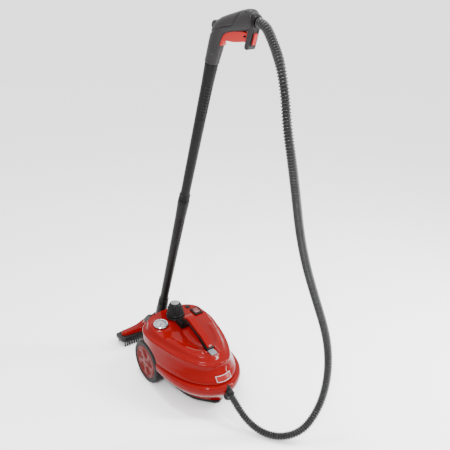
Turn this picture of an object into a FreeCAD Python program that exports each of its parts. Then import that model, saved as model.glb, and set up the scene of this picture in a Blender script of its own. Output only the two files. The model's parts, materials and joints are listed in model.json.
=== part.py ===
import FreeCAD, Part
import math
import os

# Canister steam cleaner used as a steam mop: a wheeled boiler unit, a ribbed steam hose,
# a trigger gun, two extension tubes and a floor head, parked upright behind the unit.
# Millimetres.  The unit is drawn about a point on the floor under its wheel axle, nose
# towards -Y, then everything moves so that the bottom centre of the whole is the origin.

V = FreeCAD.Vector

# ---- driving dimensions -------------------------------------------------------------
TYRE_R = 71.4
TYRE_W = 34.0
WHEEL_X = 99.0                  # middle of each wheel
HUB_R = 58.0
AXLE_R = 5.0
AXLE_Y = 0.0
ARCH_R = 76.0                   # clearance radius round a wheel
ARCH_X = 78.5                   # inner wall of a wheel arch
WALL = 3.0                      # casing wall
BASE_Z = 28.0                   # lower edge of the red casing
LEDGE_Z = 104.0                 # joint between lower and upper casing
RIM_SLOPE = 0.085
DECK_SLOPE = 0.12
DECK_Z0 = 172.0                 # deck height at DECK_Y0
DECK_Y0 = -215.0
CAP_Y = -3.5
CAP_R = 28.5
CAP_H = 52.0
GAUGE = (-63.0, -18.0)
GAUGE_R = 23.0
SWITCH = (73.0, -14.0)
CASTOR_Y = -165.0
CASTOR_R = 14.0
CASTOR_TRAIL = 9.0
FIT = 0.05                      # radial clearance of a shaft in its hole
GAP = 0.4                       # clearance between parts of different bodies

WAND_FOOT = V(17.3, 103.1, 194.8)       # rim of the floor-head neck, on the wand axis
WAND_DIR = V(0.008, -0.3546, 1.0)
TUBE_PITCH = 428.0
TUBE_R_TOP = 16.4
TUBE_R_END = 13.6
TUBE_BORE = 10.0
SPIGOT = 34.0                   # how far a tube's thin end goes into the next one
GUN_TWIST = 6.0                 # degrees about the wand axis
HOSE_R = 11.8

HEAD_X = 16.0
HEAD_Y = 240.0
HEAD_HALF = 108.0
PIVOT = V(16.5, 184.0, 96.0)

parts = {}


# ---- helpers ------------------------------------------------------------------------
def box(x0, x1, y0, y1, z0, z1):
    return Part.makeBox(x1 - x0, y1 - y0, z1 - z0, V(x0, y0, z0))


def cyl(r, h, at, axis=V(0, 0, 1)):
    return Part.makeCylinder(r, h, at, axis)


def tube(r_out, r_in, h, at, axis=V(0, 0, 1)):
    return cyl(r_out, h, at, axis).cut(cyl(r_in, h, at, axis))


def turned(profile, at=V(0, 0, 0), axis=V(0, 0, 1)):
    """Solid of revolution: profile is (radius, height) points about the axis."""
    points = [V(r, 0, h) for r, h in profile]
    face = Part.Face(Part.makePolygon(points + points[:1]))
    solid = face.revolve(V(0, 0, 0), V(0, 0, 1), 360)
    turn = FreeCAD.Rotation(V(0, 0, 1), axis)
    solid.Placement = FreeCAD.Placement(at, turn)
    return solid


def prism(points, x0, x1):
    """Outline in the Y-Z plane, extruded along X."""
    ring = [V(x0, y, z) for y, z in points]
    return Part.Face(Part.makePolygon(ring + ring[:1])).extrude(V(x1 - x0, 0, 0))


def mirror_x(shape):
    return shape.mirror(V(0, 0, 0), V(1, 0, 0))


def join(first, *others):
    return first.fuse(list(others)).removeSplitter()


def biggest(shape):
    return sorted(shape.Solids, key=lambda solid: solid.Volume)[-1]


def deck_z(y):
    return DECK_Z0 + DECK_SLOPE * (y - DECK_Y0)


def level(half, z0, slope=0.0, y0=0.0, inset=0.0):
    """Closed smooth outline from its right half, nose to tail, pulled in by inset."""
    y_mid = -110.0
    grown = []
    for x, y in half:
        reach = math.hypot(x, y - y_mid)
        k = (reach - inset) / reach
        grown.append((x * k, y_mid + (y - y_mid) * k))
    loop = grown + [(-x, y) for x, y in reversed(grown[1:-1])]
    curve = Part.BSplineCurve()
    curve.interpolate([V(x, y, z0 + slope * (y - y0)) for x, y in loop], PeriodicFlag=True)
    return Part.Wire(curve.toShape())


def loft(levels):
    return Part.makeLoft(levels, True, True)


# ---- outlines of the red casing, right half from nose to tail ------------------------
HULL_BASE = [(0, -247), (30, -226), (56, -190), (70, -140), (76, -80), (77, -20), (76, 18), (62, 46),
             (32, 56),
             (0, 58)]
HULL_LOW = [(0, -272), (48, -248), (80, -207), (96, -155), (100, -85), (98, -22), (92, 16), (72, 45),
            (36, 58),
            (0, 60)]
HULL_WIDE = [(0, -289), (60, -262), (95, -217), (113, -160), (118, -88), (115, -24), (107, 16), (82, 46),
             (40, 59),
             (0, 61)]
HULL_LEDGE = [(0, -287), (59, -260), (93, -216), (112, -160), (117, -88), (115, -24), (107, 16), (82, 46),
              (40, 59),
              (0, 61)]
TIER_FOOT = [(0, -274), (52, -251), (83, -211), (102, -157), (112, -88), (113, -24), (107, 16), (82, 46),
             (40, 59),
             (0, 61)]
TIER_WAIST = [(0, -260), (46, -242), (75, -204), (96, -152), (109, -86), (114, -24), (108, 16), (83, 46),
              (40, 59),
              (0, 61)]
TIER_RIM = [(0, -249), (41, -238), (67, -204), (91, -150), (108, -86), (117, -28), (111, 16), (85, 46),
            (41, 58),
            (0, 60)]
TIER_DECK = [(0, -222), (33, -212), (54, -180), (74, -130), (89, -72), (97, -22), (92, 12), (70, 35),
             (34, 44), (0, 46)]
LOW_Z = 60.0
RIM_Z = 158.0
RIM_Y = -249.0
WIDE_Z = 88.0
WAIST_Z = 130.0
FLANGE = 10.0                   # inward flange where the casings meet


def wheel_room():
    well = cyl(ARCH_R, 60, V(ARCH_X, AXLE_Y, TYRE_R), V(1, 0, 0))
    return well.fuse(mirror_x(well))


def scoop(extra):
    """Hand recess under the carry handle, an ellipsoid sunk in the deck."""
    ball = Part.makeSphere(1.0)
    shape = FreeCAD.Matrix()
    shape.scale(36 + extra, 50 + extra, 20 + extra)
    ball = ball.transformGeometry(shape)
    ball.translate(V(0, -116, deck_z(-116) + 4))
    return ball


def lower_hull(inset):
    if inset == 0:
        heights = [(HULL_BASE, BASE_Z, 0), (HULL_LOW, LOW_Z, 0), (HULL_WIDE, WIDE_Z, 0),
                   (HULL_LEDGE, LEDGE_Z, 0)]
    else:
        heights = [(HULL_BASE, BASE_Z - 1, inset), (HULL_LOW, LOW_Z, inset), (HULL_WIDE, WIDE_Z, inset),
                   (HULL_LEDGE, LEDGE_Z - 4.5, inset), (HULL_LEDGE, LEDGE_Z - 4, FLANGE + inset),
                   (HULL_LEDGE, LEDGE_Z + 1, FLANGE + inset)]
    return loft([level(half, z, inset=pull) for half, z, pull in heights])


def upper_hull(inset):
    drop = inset
    foot = LEDGE_Z - (1 if inset else 0)
    return loft([
        level(TIER_FOOT, foot, inset=inset),
        level(TIER_WAIST, WAIST_Z, inset=inset),
        level(TIER_RIM, RIM_Z - drop * 0.5, RIM_SLOPE, RIM_Y, inset),
        level(TIER_DECK, DECK_Z0 - drop, DECK_SLOPE, DECK_Y0, inset),
    ])


# ---- casings ------------------------------------------------------------------------
room = wheel_room()
hull_in = lower_hull(WALL)
tier_in = upper_hull(WALL)

cap_hole = cyl(20, 60, V(0, CAP_Y, 170))
gauge_hole = cyl(GAUGE_R - 3, 40, V(GAUGE[0], GAUGE[1], 178))
switch_hole = box(SWITCH[0] - 11, SWITCH[0] + 11, SWITCH[1] - 14, SWITCH[1] + 14, 175, 215)
lens_hole = box(-8, 8, -217, -199, 160, 185)

parts["lower_casing"] = lower_hull(0).cut(hull_in).cut(room)
upper = upper_hull(0).cut(scoop(0)).cut(tier_in.cut(scoop(WALL)))
parts["upper_casing"] = upper.cut(room).cut(cap_hole).cut(gauge_hole).cut(switch_hole).cut(lens_hole)

TRAY_Z = 19.0
tray_rim = loft([level(HULL_BASE, TRAY_Z, inset=1.5), level(HULL_BASE, BASE_Z, inset=-0.5)])
tray_hollow = loft([level(HULL_BASE, TRAY_Z + 3, inset=9), level(HULL_BASE, BASE_Z + 1, inset=9)])
castor_pocket = cyl(31, 60, V(0, CASTOR_Y, 0))
pocket_wall = tube(34, 31, 32, V(0, CASTOR_Y, TRAY_Z))
pocket_roof = cyl(34, 3, V(0, CASTOR_Y, TRAY_Z + 32)).cut(cyl(5 + FIT, 10, V(0, CASTOR_Y, TRAY_Z + 30)))
tray = tray_rim.cut(tray_hollow).cut(castor_pocket)
saddle = box(-70, 70, -11, 11, TRAY_Z, TYRE_R + 11).cut(box(-62, 62, -20, 20, TRAY_Z + 3, 100))
saddle = saddle.cut(cyl(AXLE_R + FIT, 300, V(-150, AXLE_Y, TYRE_R), V(1, 0, 0)))
parts["base_tray"] = join(tray, pocket_wall, pocket_roof, saddle)

liner = tube(ARCH_R + WALL, ARCH_R, 24, V(ARCH_X, AXLE_Y, TYRE_R), V(1, 0, 0))
liner = liner.common(tier_in.fuse(hull_in))
liner = liner.common(box(0, 200, -100, 60, TYRE_R, 200))
cheek = cyl(ARCH_R + WALL, 2.5, V(ARCH_X - 2.5, AXLE_Y, TYRE_R), V(1, 0, 0))
cheek = cheek.common(box(0, 200, -100, 46, BASE_Z + 12, 200))
cheek = cheek.cut(cyl(12, 200, V(0, 0, TYRE_R), V(1, 0, 0))).common(tier_in.fuse(hull_in))
arch = biggest(cheek.fuse(liner).cut(parts["lower_casing"]).cut(parts["upper_casing"]))
parts["wheel_arch_right"] = arch
parts["wheel_arch_left"] = mirror_x(arch)

# ---- wheels and axle ----------------------------------------------------------------
parts["wheel_axle"] = cyl(AXLE_R, 2 * WHEEL_X + 26, V(-WHEEL_X - 13, AXLE_Y, TYRE_R), V(1, 0, 0))


def wheel(side):
    """Tyre and hub, drawn with the outer face towards +X."""
    w = TYRE_W / 2
    tyre = turned([(HUB_R - 4, -w), (TYRE_R - 5, -w), (TYRE_R, -w + 6), (TYRE_R, w - 6), (TYRE_R - 5, w),
                   (HUB_R - 4, w)], V(WHEEL_X, AXLE_Y, TYRE_R), V(1, 0, 0))
    hub = turned([(AXLE_R + FIT, -w), (13, -w), (13, w - 9), (HUB_R - 7, w - 9), (HUB_R - 7, -w),
                  (HUB_R - 4, -w),
                  (HUB_R - 4, w - 1), (HUB_R - 12, w - 1), (HUB_R - 14, w - 4), (9, w - 4), (9, w - 1),
                  (7, w + 0.6), (0, w + 0.6), (0, w - 3.6), (AXLE_R + FIT, w - 3.6)],
                 V(WHEEL_X, AXLE_Y, TYRE_R), V(1, 0, 0))
    return [piece if side > 0 else mirror_x(piece) for piece in (tyre, hub)]


for side, name in ((-1, "left"), (1, "right")):
    tyre, hub = wheel(side)
    parts["tyre_" + name] = tyre
    parts["hubcap_" + name] = hub

# ---- front castor -------------------------------------------------------------------
wheel_y = CASTOR_Y + CASTOR_TRAIL
stem = cyl(5, 11, V(0, CASTOR_Y, 44.5))
plate = cyl(15, 4, V(0, CASTOR_Y, 40.5))
fork = stem.fuse(plate)
for side in (-1, 1):
    cheek = box(side * 9.5 - 1.75, side * 9.5 + 1.75, CASTOR_Y - 6, wheel_y + 6, 9, 44)
    fork = fork.fuse(cheek)
fork = fork.cut(cyl(2.5, 40, V(-20, wheel_y, CASTOR_R), V(1, 0, 0)))
parts["castor_fork"] = fork.removeSplitter()
parts["castor_pin"] = cyl(2.5, 22.5, V(-11.25, wheel_y, CASTOR_R), V(1, 0, 0))
parts["castor_wheel"] = turned([(2.5 + FIT, -7), (CASTOR_R - 2, -7), (CASTOR_R, -5), (CASTOR_R, 5),
                                (CASTOR_R - 2, 7), (2.5 + FIT, 7)], V(0, wheel_y, CASTOR_R), V(1, 0, 0))

# ---- boiler and steam parts inside ---------------------------------------------------
BOILER_Y0 = -120.0
BOILER_L = 150.0
BOILER_R = 38.0
BOILER_Z = 118.0


def boiler_shape(r, pull):
    bulge = 14 - pull
    length = BOILER_L - 2 * pull
    return turned([(0, -bulge), (r * 0.6, -bulge * 0.7), (r, 0), (r, length),
                   (r * 0.6, length + bulge * 0.7),
                   (0, length + bulge)], V(0, BOILER_Y0 + pull, BOILER_Z), V(0, 1, 0))


neck_z = BOILER_Z + BOILER_R - 4
boiler = boiler_shape(BOILER_R, 0).cut(boiler_shape(BOILER_R - 2, 2))
parts["boiler"] = boiler.cut(cyl(15, 60, V(0, CAP_Y, BOILER_Z + 10)))
parts["boiler_neck"] = tube(15, 11.5, 201 - neck_z, V(0, CAP_Y, neck_z))
parts["heating_element"] = Part.makeTorus(26, 4, V(0, -45, BOILER_Z - BOILER_R - 4.5))
parts["thermostat"] = cyl(9, 8, V(0, BOILER_Y0 - 22.5, BOILER_Z), V(0, 1, 0))
pipe_path = [V(0, -132.4, 104), V(0, -150, 104), V(0, -178, 74), V(0, -220, 84), V(0, -262, 84)]
runs = []
for start, end in zip(pipe_path, pipe_path[1:]):
    runs.append(cyl(4, (end - start).Length, start, end - start))
    runs.append(Part.makeSphere(4, end))
parts["steam_pipe"] = join(runs[0], *runs[1:-1]).cut(cyl(4.2, 80, V(0, -262, 84), V(0, -1, 0)))

# ---- deck fittings ------------------------------------------------------------------
cap_z = deck_z(CAP_Y)
parts["cap_collar"] = turned([(15.2, -14), (19.6, -14), (19.6, 4.0), (CAP_R + 1, 4.0), (CAP_R - 1, 6.5),
                              (15.2, 6.5)], V(0, CAP_Y, cap_z))
shell = turned([(15.3, 7.0), (CAP_R, 7.0), (CAP_R, 13), (CAP_R - 2, 22), (CAP_R - 5.5, 40),
                (CAP_R - 9, CAP_H - 2),
                (CAP_R - 12, CAP_H), (0, CAP_H), (0, CAP_H - 5), (12, CAP_H - 5), (15.3, CAP_H - 9)],
               V(0, CAP_Y, cap_z))
FLUTES = 30
for step in range(FLUTES):
    angle = 2 * math.pi * step / FLUTES
    out = V(math.cos(angle), math.sin(angle), 0)
    flute = cyl(1.0, 34, V(0, CAP_Y, cap_z + 13) + out * (CAP_R + 0.3), V(0, 0, 1) - out * 0.17)
    shell = shell.cut(flute)
parts["cap_shell"] = shell
parts["cap_disc"] = turned([(0, CAP_H), (12.5, CAP_H), (10.5, CAP_H + 1.8), (0, CAP_H + 2.6)],
                           V(0, CAP_Y, cap_z))
parts["cap_plug"] = turned([(0, -12), (11.3, -12), (11.3, 4.4), (10.6, 4.6), (10.6, CAP_H - 5),
                            (0, CAP_H - 5)],
                           V(0, CAP_Y, cap_z))
parts["cap_gasket"] = turned([(11.6, 4.7), (14.9, 4.7), (14.9, 6.8), (11.6, 6.8)], V(0, CAP_Y, cap_z))

tilt = V(0, -DECK_SLOPE, 1)
gauge_at = V(GAUGE[0], GAUGE[1], deck_z(GAUGE[1]))
parts["gauge_case"] = turned([(0, -22), (GAUGE_R - 4, -22), (GAUGE_R - 4, 3.0), (0, 3.0)], gauge_at, tilt)
parts["gauge_dial"] = turned([(0, 3.0), (GAUGE_R - 4, 3.0), (GAUGE_R - 4, 3.8), (0, 3.8)], gauge_at, tilt)
parts["gauge_bezel"] = turned([(GAUGE_R - 3.8, 0.05), (GAUGE_R + 0.5, 0.05), (GAUGE_R + 0.5, 6),
                               (GAUGE_R - 1.5, 8.2), (GAUGE_R - 3.8, 7.0)], gauge_at, tilt)
parts["gauge_glass"] = turned([(0, 5.8), (GAUGE_R - 4, 5.8), (GAUGE_R - 4, 7.0), (0, 7.0)], gauge_at,
                              tilt)
needle = box(-0.9, 0.9, -15, 5, 4.4, 5.0).fuse(cyl(2.4, 1.0, V(0, 0, 4.2)))
needle.Placement = FreeCAD.Placement(gauge_at, FreeCAD.Rotation(V(0, 0, 1), tilt).multiply(
    FreeCAD.Rotation(V(0, 0, 1), -45)))
parts["gauge_needle"] = needle

deck_turn = FreeCAD.Rotation(V(0, 0, 1), tilt)


def on_deck(shape, x, y):
    shape.Placement = FreeCAD.Placement(V(x, y, deck_z(y)), deck_turn)
    return shape


bezel = box(-14, 14, -17.5, 17.5, 0.3, 4.5).fuse(box(-10.8, 10.8, -13.8, 13.8, -14, 0.3))
bezel = bezel.cut(box(-9, 9, -12, 12, -12, 10))
parts["switch_bezel"] = on_deck(bezel, *SWITCH)
rocker = prism([(-10.4, 5.5), (0, 3.4), (10.4, 7.2), (9.6, -4), (-9.6, -4)], -8.4, 8.4)
parts["rocker_switch"] = on_deck(rocker, *SWITCH)
trunnion = on_deck(cyl(1.5, 19.4, V(-9.7, 0, -0.5), V(1, 0, 0)), *SWITCH)
parts["rocker_switch"] = join(parts["rocker_switch"], trunnion)
trunnion_bore = on_deck(cyl(1.5 + FIT, 20.0, V(-10.0, 0, -0.5), V(1, 0, 0)), *SWITCH)
parts["switch_bezel"] = parts["switch_bezel"].cut(trunnion_bore)
parts["indicator_plate"] = on_deck(box(-7, 7, -7, 7, 0.3, 2.0), 62, 21)
parts["ready_lens"] = on_deck(join(box(-10, 10, -11, 11, 0.3, 6), box(-7.5, 7.5, -8.5, 8.5, -6, 0.3)), 0,
                              -208)
parts["ready_lamp"] = cyl(4, 14, V(0, -208, deck_z(-208) - 21))

# ---- carry handle: red cap over a black underside with a rear leg --------------------
HANDLE_HALF = 13.0
top_line = [(-74, 238), (-86, 241), (-160, 213), (-199, 191)]
mid_line = [(-76, 230), (-86, 232), (-157, 205), (-194, 184)]
parts["carry_handle"] = prism(top_line + mid_line[::-1], -HANDLE_HALF, HANDLE_HALF)
under_line = [(-95, 219), (-150, 197), (-182, deck_z(-182) + 0.3)]
leg_line = [(-78, deck_z(-78) + 14), (-60, deck_z(-60) + 0.3), (-38, deck_z(-38) + 0.3), (-46, 214)]
foot = [(-194, deck_z(-194) + 0.3)]
parts["handle_grip_underside"] = prism(mid_line + foot + under_line[::-1] + leg_line, -HANDLE_HALF + 1.5,
                                       HANDLE_HALF - 1.5)
parts["handle_grip_underside"] = parts["handle_grip_underside"].cut(scoop(0.3))

# ---- nose: hose elbow, badge plate; tail: cord inlet and wand holder ------------------
ELBOW = V(0, -290, 84)
NOSE_WAY = V(0, -0.82, -0.57).normalize()
dome = Part.makeSphere(12.5, ELBOW)
pod = join(dome, box(-9, 9, -292, -272, 44, 84), cyl(9, 40, V(0, -283, 44)))
outlet = cyl(HOSE_R + 2.2, 14, ELBOW, NOSE_WAY)
pod = join(pod, outlet)
pod = pod.cut(lower_hull(0)).cut(hull_in).cut(upper_hull(0))
pod = biggest(pod)
parts["hose_outlet"] = pod.cut(cyl(7, 80, ELBOW - NOSE_WAY * 4, NOSE_WAY))

badge = box(-24, 24, -280, -240, 112, 126).common(upper_hull(-1.4)).cut(upper_hull(-0.1))
parts["badge_plate"] = biggest(badge.cut(parts["upper_casing"]))

parts["cord_inlet"] = turned([(4.5, -4), (9, -4), (9, 0), (8, 3), (6.5, 9), (4.5, 9)], V(-20, 60, 60),
                             V(0, 1, 0))
parts["lower_casing"] = parts["lower_casing"].cut(cyl(9, 12, V(-20, 50, 60), V(0, 1, 0)))

wand_axis = V(WAND_DIR).normalize()
wand_turn = FreeCAD.Rotation(V(0, 0, 1), wand_axis)
HOLDER_S0 = -82.0
HOLDER_S1 = -64.0
clip = tube(21.5, TUBE_R_TOP + 2 + GAP, HOLDER_S1 - HOLDER_S0, V(0, 0, HOLDER_S0))
clip = clip.cut(box(-12, 12, 5, 40, HOLDER_S0 - 1, HOLDER_S1 + 1))
clip.Placement = FreeCAD.Placement(WAND_FOOT, wand_turn)
arm = box(4, 30, 56, 125, 116, 132).cut(upper_hull(0)).cut(tier_in)
arm_room = cyl(TUBE_R_TOP + 2 + GAP, 200, V(0, 0, -180))
arm_room.Placement = FreeCAD.Placement(WAND_FOOT, wand_turn)
clip = join(clip, arm.cut(arm_room))
parts["wand_holder"] = biggest(clip)

screws = []
for x, y in ((-55, -170), (55, -170), (-60, -60), (60, -60), (-48, 36), (48, 36)):
    screws.append(turned([(0, TRAY_Z), (4, TRAY_Z), (4, TRAY_Z + 2.0), (2, TRAY_Z + 2.2),
                          (2, TRAY_Z + 12),
                          (0, TRAY_Z + 12)], V(x, y, 0)))
casing_screws = Part.makeCompound(screws)
parts["base_tray"] = parts["base_tray"].cut(casing_screws)
parts["casing_screws"] = casing_screws

# ---- wand: neck, two tubes, drawn along local Z from the neck rim ---------------------


def placed_on_wand(shape, s=0.0):
    at = WAND_FOOT + wand_axis * s
    shape.Placement = FreeCAD.Placement(at, wand_turn).multiply(shape.Placement)
    return shape


def tube_piece(length):
    """One extension tube: wide at the top, ringed above the joint, thin spigot below."""
    profile = [(TUBE_BORE, -SPIGOT), (11.6, -SPIGOT), (11.6, 0.3), (17.2, 0.3), (17.2, 4), (15.2, 4.6)]
    for ring in range(3):
        z = 6.0 + 7.0 * ring
        profile += [(15.2, z), (16.6, z + 1), (16.6, z + 3), (15.0, z + 4)]
    profile += [(TUBE_R_END, 34), (TUBE_R_END + 1.2, length * 0.55), (TUBE_R_TOP - 0.6, length - 60),
                (TUBE_R_TOP, length - 40), (17.4, length - 3), (17.0, length),
                (11.9, length), (11.9, length - SPIGOT - 1), (TUBE_BORE, length - SPIGOT - 1)]
    return turned(profile)


BUTTON_R = 3.2
BUTTON_S = -15.0


def button_axis():
    """Direction in which each lock button points, square to the wand, towards the user."""
    angle = math.radians(-52)
    return V(math.cos(angle), math.sin(angle), 0)


def button_bore(s, r, h, start):
    return cyl(r, h, V(0, 0, s) + button_axis() * start, button_axis())


lower = tube_piece(TUBE_PITCH).cut(button_bore(BUTTON_S, BUTTON_R + FIT, 8, 6))
lower = lower.cut(button_bore(TUBE_PITCH + BUTTON_S, BUTTON_R + GAP, 20, 6))
parts["lower_tube"] = placed_on_wand(lower)
upper_t = tube_piece(TUBE_PITCH).cut(button_bore(BUTTON_S, BUTTON_R + FIT, 8, 6))
upper_t = upper_t.cut(button_bore(TUBE_PITCH + BUTTON_S, BUTTON_R + GAP, 20, 6))
parts["upper_tube"] = placed_on_wand(upper_t, TUBE_PITCH)

for index, name in enumerate(("lock_button_lower", "lock_button_middle", "lock_button_upper")):
    button = button_bore(TUBE_PITCH * index + BUTTON_S, BUTTON_R, 7.0, 10.2)
    parts[name] = placed_on_wand(button)

# neck: socket round the wand axis, elbow behind it and a hinge fork for the head
neck = turned([(11.9, -SPIGOT - 1), (11.9, 0), (17.0, 0), (17.4, -3), (TUBE_R_TOP + 2, -30),
               (TUBE_R_TOP + 2, -84),
               (TUBE_R_TOP, -96), (TUBE_R_TOP - 6, -104), (0, -106), (0, -SPIGOT - 1)])
neck = neck.cut(button_bore(BUTTON_S, BUTTON_R + GAP, 20, 6))
neck = placed_on_wand(neck)
elbow_at = WAND_FOOT + wand_axis * -96
link = V(PIVOT.x, PIVOT.y, PIVOT.z) - elbow_at
pivot_drum = cyl(13.5, 16, PIVOT - V(8, 0, 0), V(1, 0, 0))
neck = join(neck, Part.makeSphere(15, elbow_at), Part.makeCylinder(8.5, link.Length, elbow_at, link),
            pivot_drum)
PIN_R = 3.5
neck = neck.cut(cyl(PIN_R + FIT, 60, PIVOT - V(30, 0, 0), V(1, 0, 0)))
socket_room = turned([(0, -SPIGOT - 1), (11.9, -SPIGOT - 1), (11.9, 1), (0, 1)])
parts["head_neck"] = neck.cut(placed_on_wand(socket_room))

# yoke between the pitch pin and the roll pin
roll_dir = V(0, 0.7071, -0.7071)
yoke = join(
    box(-16.5, -9, -14, 14, -14, 32).fuse(box(9, 16.5, -14, 14, -14, 32)),
    box(-16.5, 16.5, -14, 14, 17, 32),
    cyl(8, 16, V(0, 0, 30)))
yoke.Placement = FreeCAD.Placement(PIVOT, FreeCAD.Rotation(V(0, 0, 1), roll_dir))
yoke = yoke.cut(cyl(PIN_R, 60, PIVOT - V(30, 0, 0), V(1, 0, 0)))
parts["head_yoke"] = yoke
parts["pitch_pin"] = cyl(PIN_R, 33, PIVOT - V(16.5, 0, 0), V(1, 0, 0))

# floor head: black body, red cover with a stem, bristle strips
head_y0 = HEAD_Y - 32
head_y1 = HEAD_Y + 30
HEAD_TOP = 34.0


def rounded_slab(x0, x1, y0, y1, z0, z1, r):
    slab = box(x0, x1, y0, y1, z0, z1)
    upright = [edge for edge in slab.Edges if abs(edge.tangentAt(edge.FirstParameter).z) > 0.9]
    return slab.makeFillet(r, upright)


body = rounded_slab(HEAD_X - HEAD_HALF, HEAD_X + HEAD_HALF, head_y0, head_y1, 11, HEAD_TOP, 14)
body = body.cut(box(HEAD_X - 98, HEAD_X + 98, head_y0 + 10, head_y1 - 8, 5, 28))
parts["head_body"] = body

cover = rounded_slab(HEAD_X - 100, HEAD_X + 100, head_y0 + 5, head_y1 - 4, HEAD_TOP, HEAD_TOP + 14, 20)
crown = prism([(head_y0 - 10, 34), (head_y1 + 20, 34), (head_y1 + 20, 37), (head_y1 - 12, 45),
               (HEAD_Y, 48),
               (head_y0 + 6, 41), (head_y0 - 10, 36)], -200, 250)
cover = cover.common(crown)
stem_at = PIVOT + roll_dir * 34
stem = tube(12.5, 8 + FIT, 32, V(0, 0, 0))
stem.Placement = FreeCAD.Placement(stem_at, FreeCAD.Rotation(V(0, 0, 1), roll_dir))
gusset = prism([(head_y0 + 4, 36), (HEAD_Y + 24, 36), (HEAD_Y + 24, 46), (HEAD_Y - 6, 62),
                (HEAD_Y - 24, 46)],
               HEAD_X - 15, HEAD_X + 16)
bore = cyl(8 + FIT, 40, stem_at - roll_dir * 3, roll_dir)
cover = join(cover, stem.common(box(-50, 80, 150, 300, 34.2, 200)), gusset).cut(bore)
yoke_room = cyl(24, 33, PIVOT + roll_dir * -1, roll_dir)
parts["head_cover"] = cover.cut(yoke_room)

strip = box(HEAD_X - 96, HEAD_X + 96, head_y0 + 0.5, head_y0 + 9, 6, 11)
tufts = [strip]
for row_y in (head_y0 + 0.5, head_y1 - 8):
    if row_y > HEAD_Y:
        tufts.append(box(HEAD_X - 96, HEAD_X + 96, row_y, row_y + 7.5, 6, 11))
    for step in range(20):
        x = HEAD_X - 95 + step * 9.7
        tufts.append(box(x, x + 5.5, row_y, row_y + 7.5, 0, 6.5))
bristles = join(tufts[0], *tufts[1:])
parts["head_bristles"] = bristles

# ---- steam gun: f runs forward square to the wand, h up along it ----------------------
gun_foot = WAND_FOOT + wand_axis * (2 * TUBE_PITCH)
level_forward = (V(0, -1, 0) - wand_axis * V(0, -1, 0).dot(wand_axis)).normalize()
forward = FreeCAD.Rotation(wand_axis, GUN_TWIST).multVec(level_forward)
if forward.x < 0:
    forward = FreeCAD.Rotation(wand_axis, -GUN_TWIST).multVec(level_forward)
across = forward.cross(wand_axis)
# local frame: x = forward, y = the side away from across, z = up the wand
gun_matrix = FreeCAD.Matrix(forward.x, -across.x, wand_axis.x, gun_foot.x,
                            forward.y, -across.y, wand_axis.y, gun_foot.y,
                            forward.z, -across.z, wand_axis.z, gun_foot.z, 0, 0, 0, 1)
gun_place = FreeCAD.Placement(gun_matrix)


def placed_on_gun(shape):
    shape.Placement = gun_place.multiply(shape.Placement)
    return shape


GRIP_STATIONS = [  # forward, up, direction, half height, half width
    (-4, 70, (0.25, 1), 24, 18),
    (8, 92, (0.75, 1), 22, 18),
    (32, 112, (1, 0.75), 20, 17),
    (60, 129, (1, 0.5), 19, 17),
    (88, 142, (1, 0.45), 19, 17),
    (104, 149, (1, 0.45), 18, 17),
]


def section(f, h, direction, half_h, half_n):
    """Superellipse-like closed outline, starting on the upper side of the grip."""
    length = math.hypot(*direction)
    up = V(-direction[1] / length, 0, direction[0] / length)
    points = []
    for step in range(12):
        angle = 2 * math.pi * step / 12
        points.append(V(f, 0, h) + up * (half_h * math.cos(angle)) + V(0, 1,
                                                                       0) * (half_n * math.sin(angle)))
    curve = Part.BSplineCurve()
    curve.interpolate(points, PeriodicFlag=True)
    return Part.Wire(curve.toShape())


def grip_body(inset):
    rings = [section(f, h, way, half_h - inset, half_n - inset) for f, h, way, half_h,
             half_n in GRIP_STATIONS]
    return Part.makeLoft(rings, True, True)


barrel = turned([(0, 0.4), (17.5, 0.4), (18.2, 4), (20, 30), (23.5, 74), (22, 92), (14, 100), (0, 102)])
grip = grip_body(0)
guard = rounded_slab(103, 119, -14, 14, 82, 142, 5)
HOSE_END = V(101, 0, 147.5)     # foot of the hose collar
exit_dir = V(1, 0, 0.08).normalize()
lug = turned([(0, 0), (17.5, 0), (17.5, 10), (0, 10)], HOSE_END, exit_dir)
hump = Part.makeCylinder(11, 24, V(-9, -12, 94), V(0, 1, 0))
gun_outer = join(barrel, grip, guard, lug, hump)

valve_room = turned([(0, 30), (12, 30), (13, 82), (0, 84)])
grip_room = grip_body(3)
trigger_slot = box(24, 104, -8.4, 8.4, 60, 124)
slider_slot = box(112.6, 125, -5.4, 5.4, 94, 138)
pipe_bore = turned([(0, -2), (9, -2), (9, 31), (0, 31)])
hose_bore = cyl(9, 40, HOSE_END - exit_dir * 13, exit_dir)
gun_hollow = join(valve_room, grip_room, trigger_slot, slider_slot, pipe_bore, hose_bore)
gun_shell = gun_outer.cut(gun_hollow)
spigot = turned([(9, -SPIGOT + 1), (11.6, -SPIGOT + 1), (11.6, 0.4), (9, 0.4)])
gun_shell = gun_shell.fuse(spigot)
left_half = gun_shell.common(box(-60, 160, -60, 0, -60, 220))
right_half = gun_shell.common(box(-60, 160, 0, 60, -60, 220))


trigger_pin = V(98, 0, 108)
trigger_line = [(12, 57), (22, 55), (29, 58), (32, 66), (38, 73), (60, 79), (94, 93), (101, 98),
                (101, 112), (88, 112),
                (60, 101), (36, 89), (26, 80), (18, 68)]
ring = [V(f, -7.8, h) for f, h in trigger_line]
trigger = Part.Face(Part.makePolygon(ring + ring[:1])).extrude(V(0, 15.6, 0))
side_room = join(box(5, 29, -8.6, 8.6, 50, 92), box(20, 40, -8.6, 8.6, 56, 110))
left_half = left_half.cut(side_room)
right_half = right_half.cut(side_room)
pin_hole = cyl(2.0 + FIT, 60, trigger_pin - V(0, 30, 0), V(0, 1, 0))
pin_seat = cyl(2.0, 26, trigger_pin - V(0, 13, 0), V(0, 1, 0))
COLLAR_L = 18.0
collar = turned([(7, 10.4), (16.6, 10.4), (16.6, 13.6), (14.6, 14.4), (14.6, COLLAR_L), (7, COLLAR_L)],
                HOSE_END, exit_dir)
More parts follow.
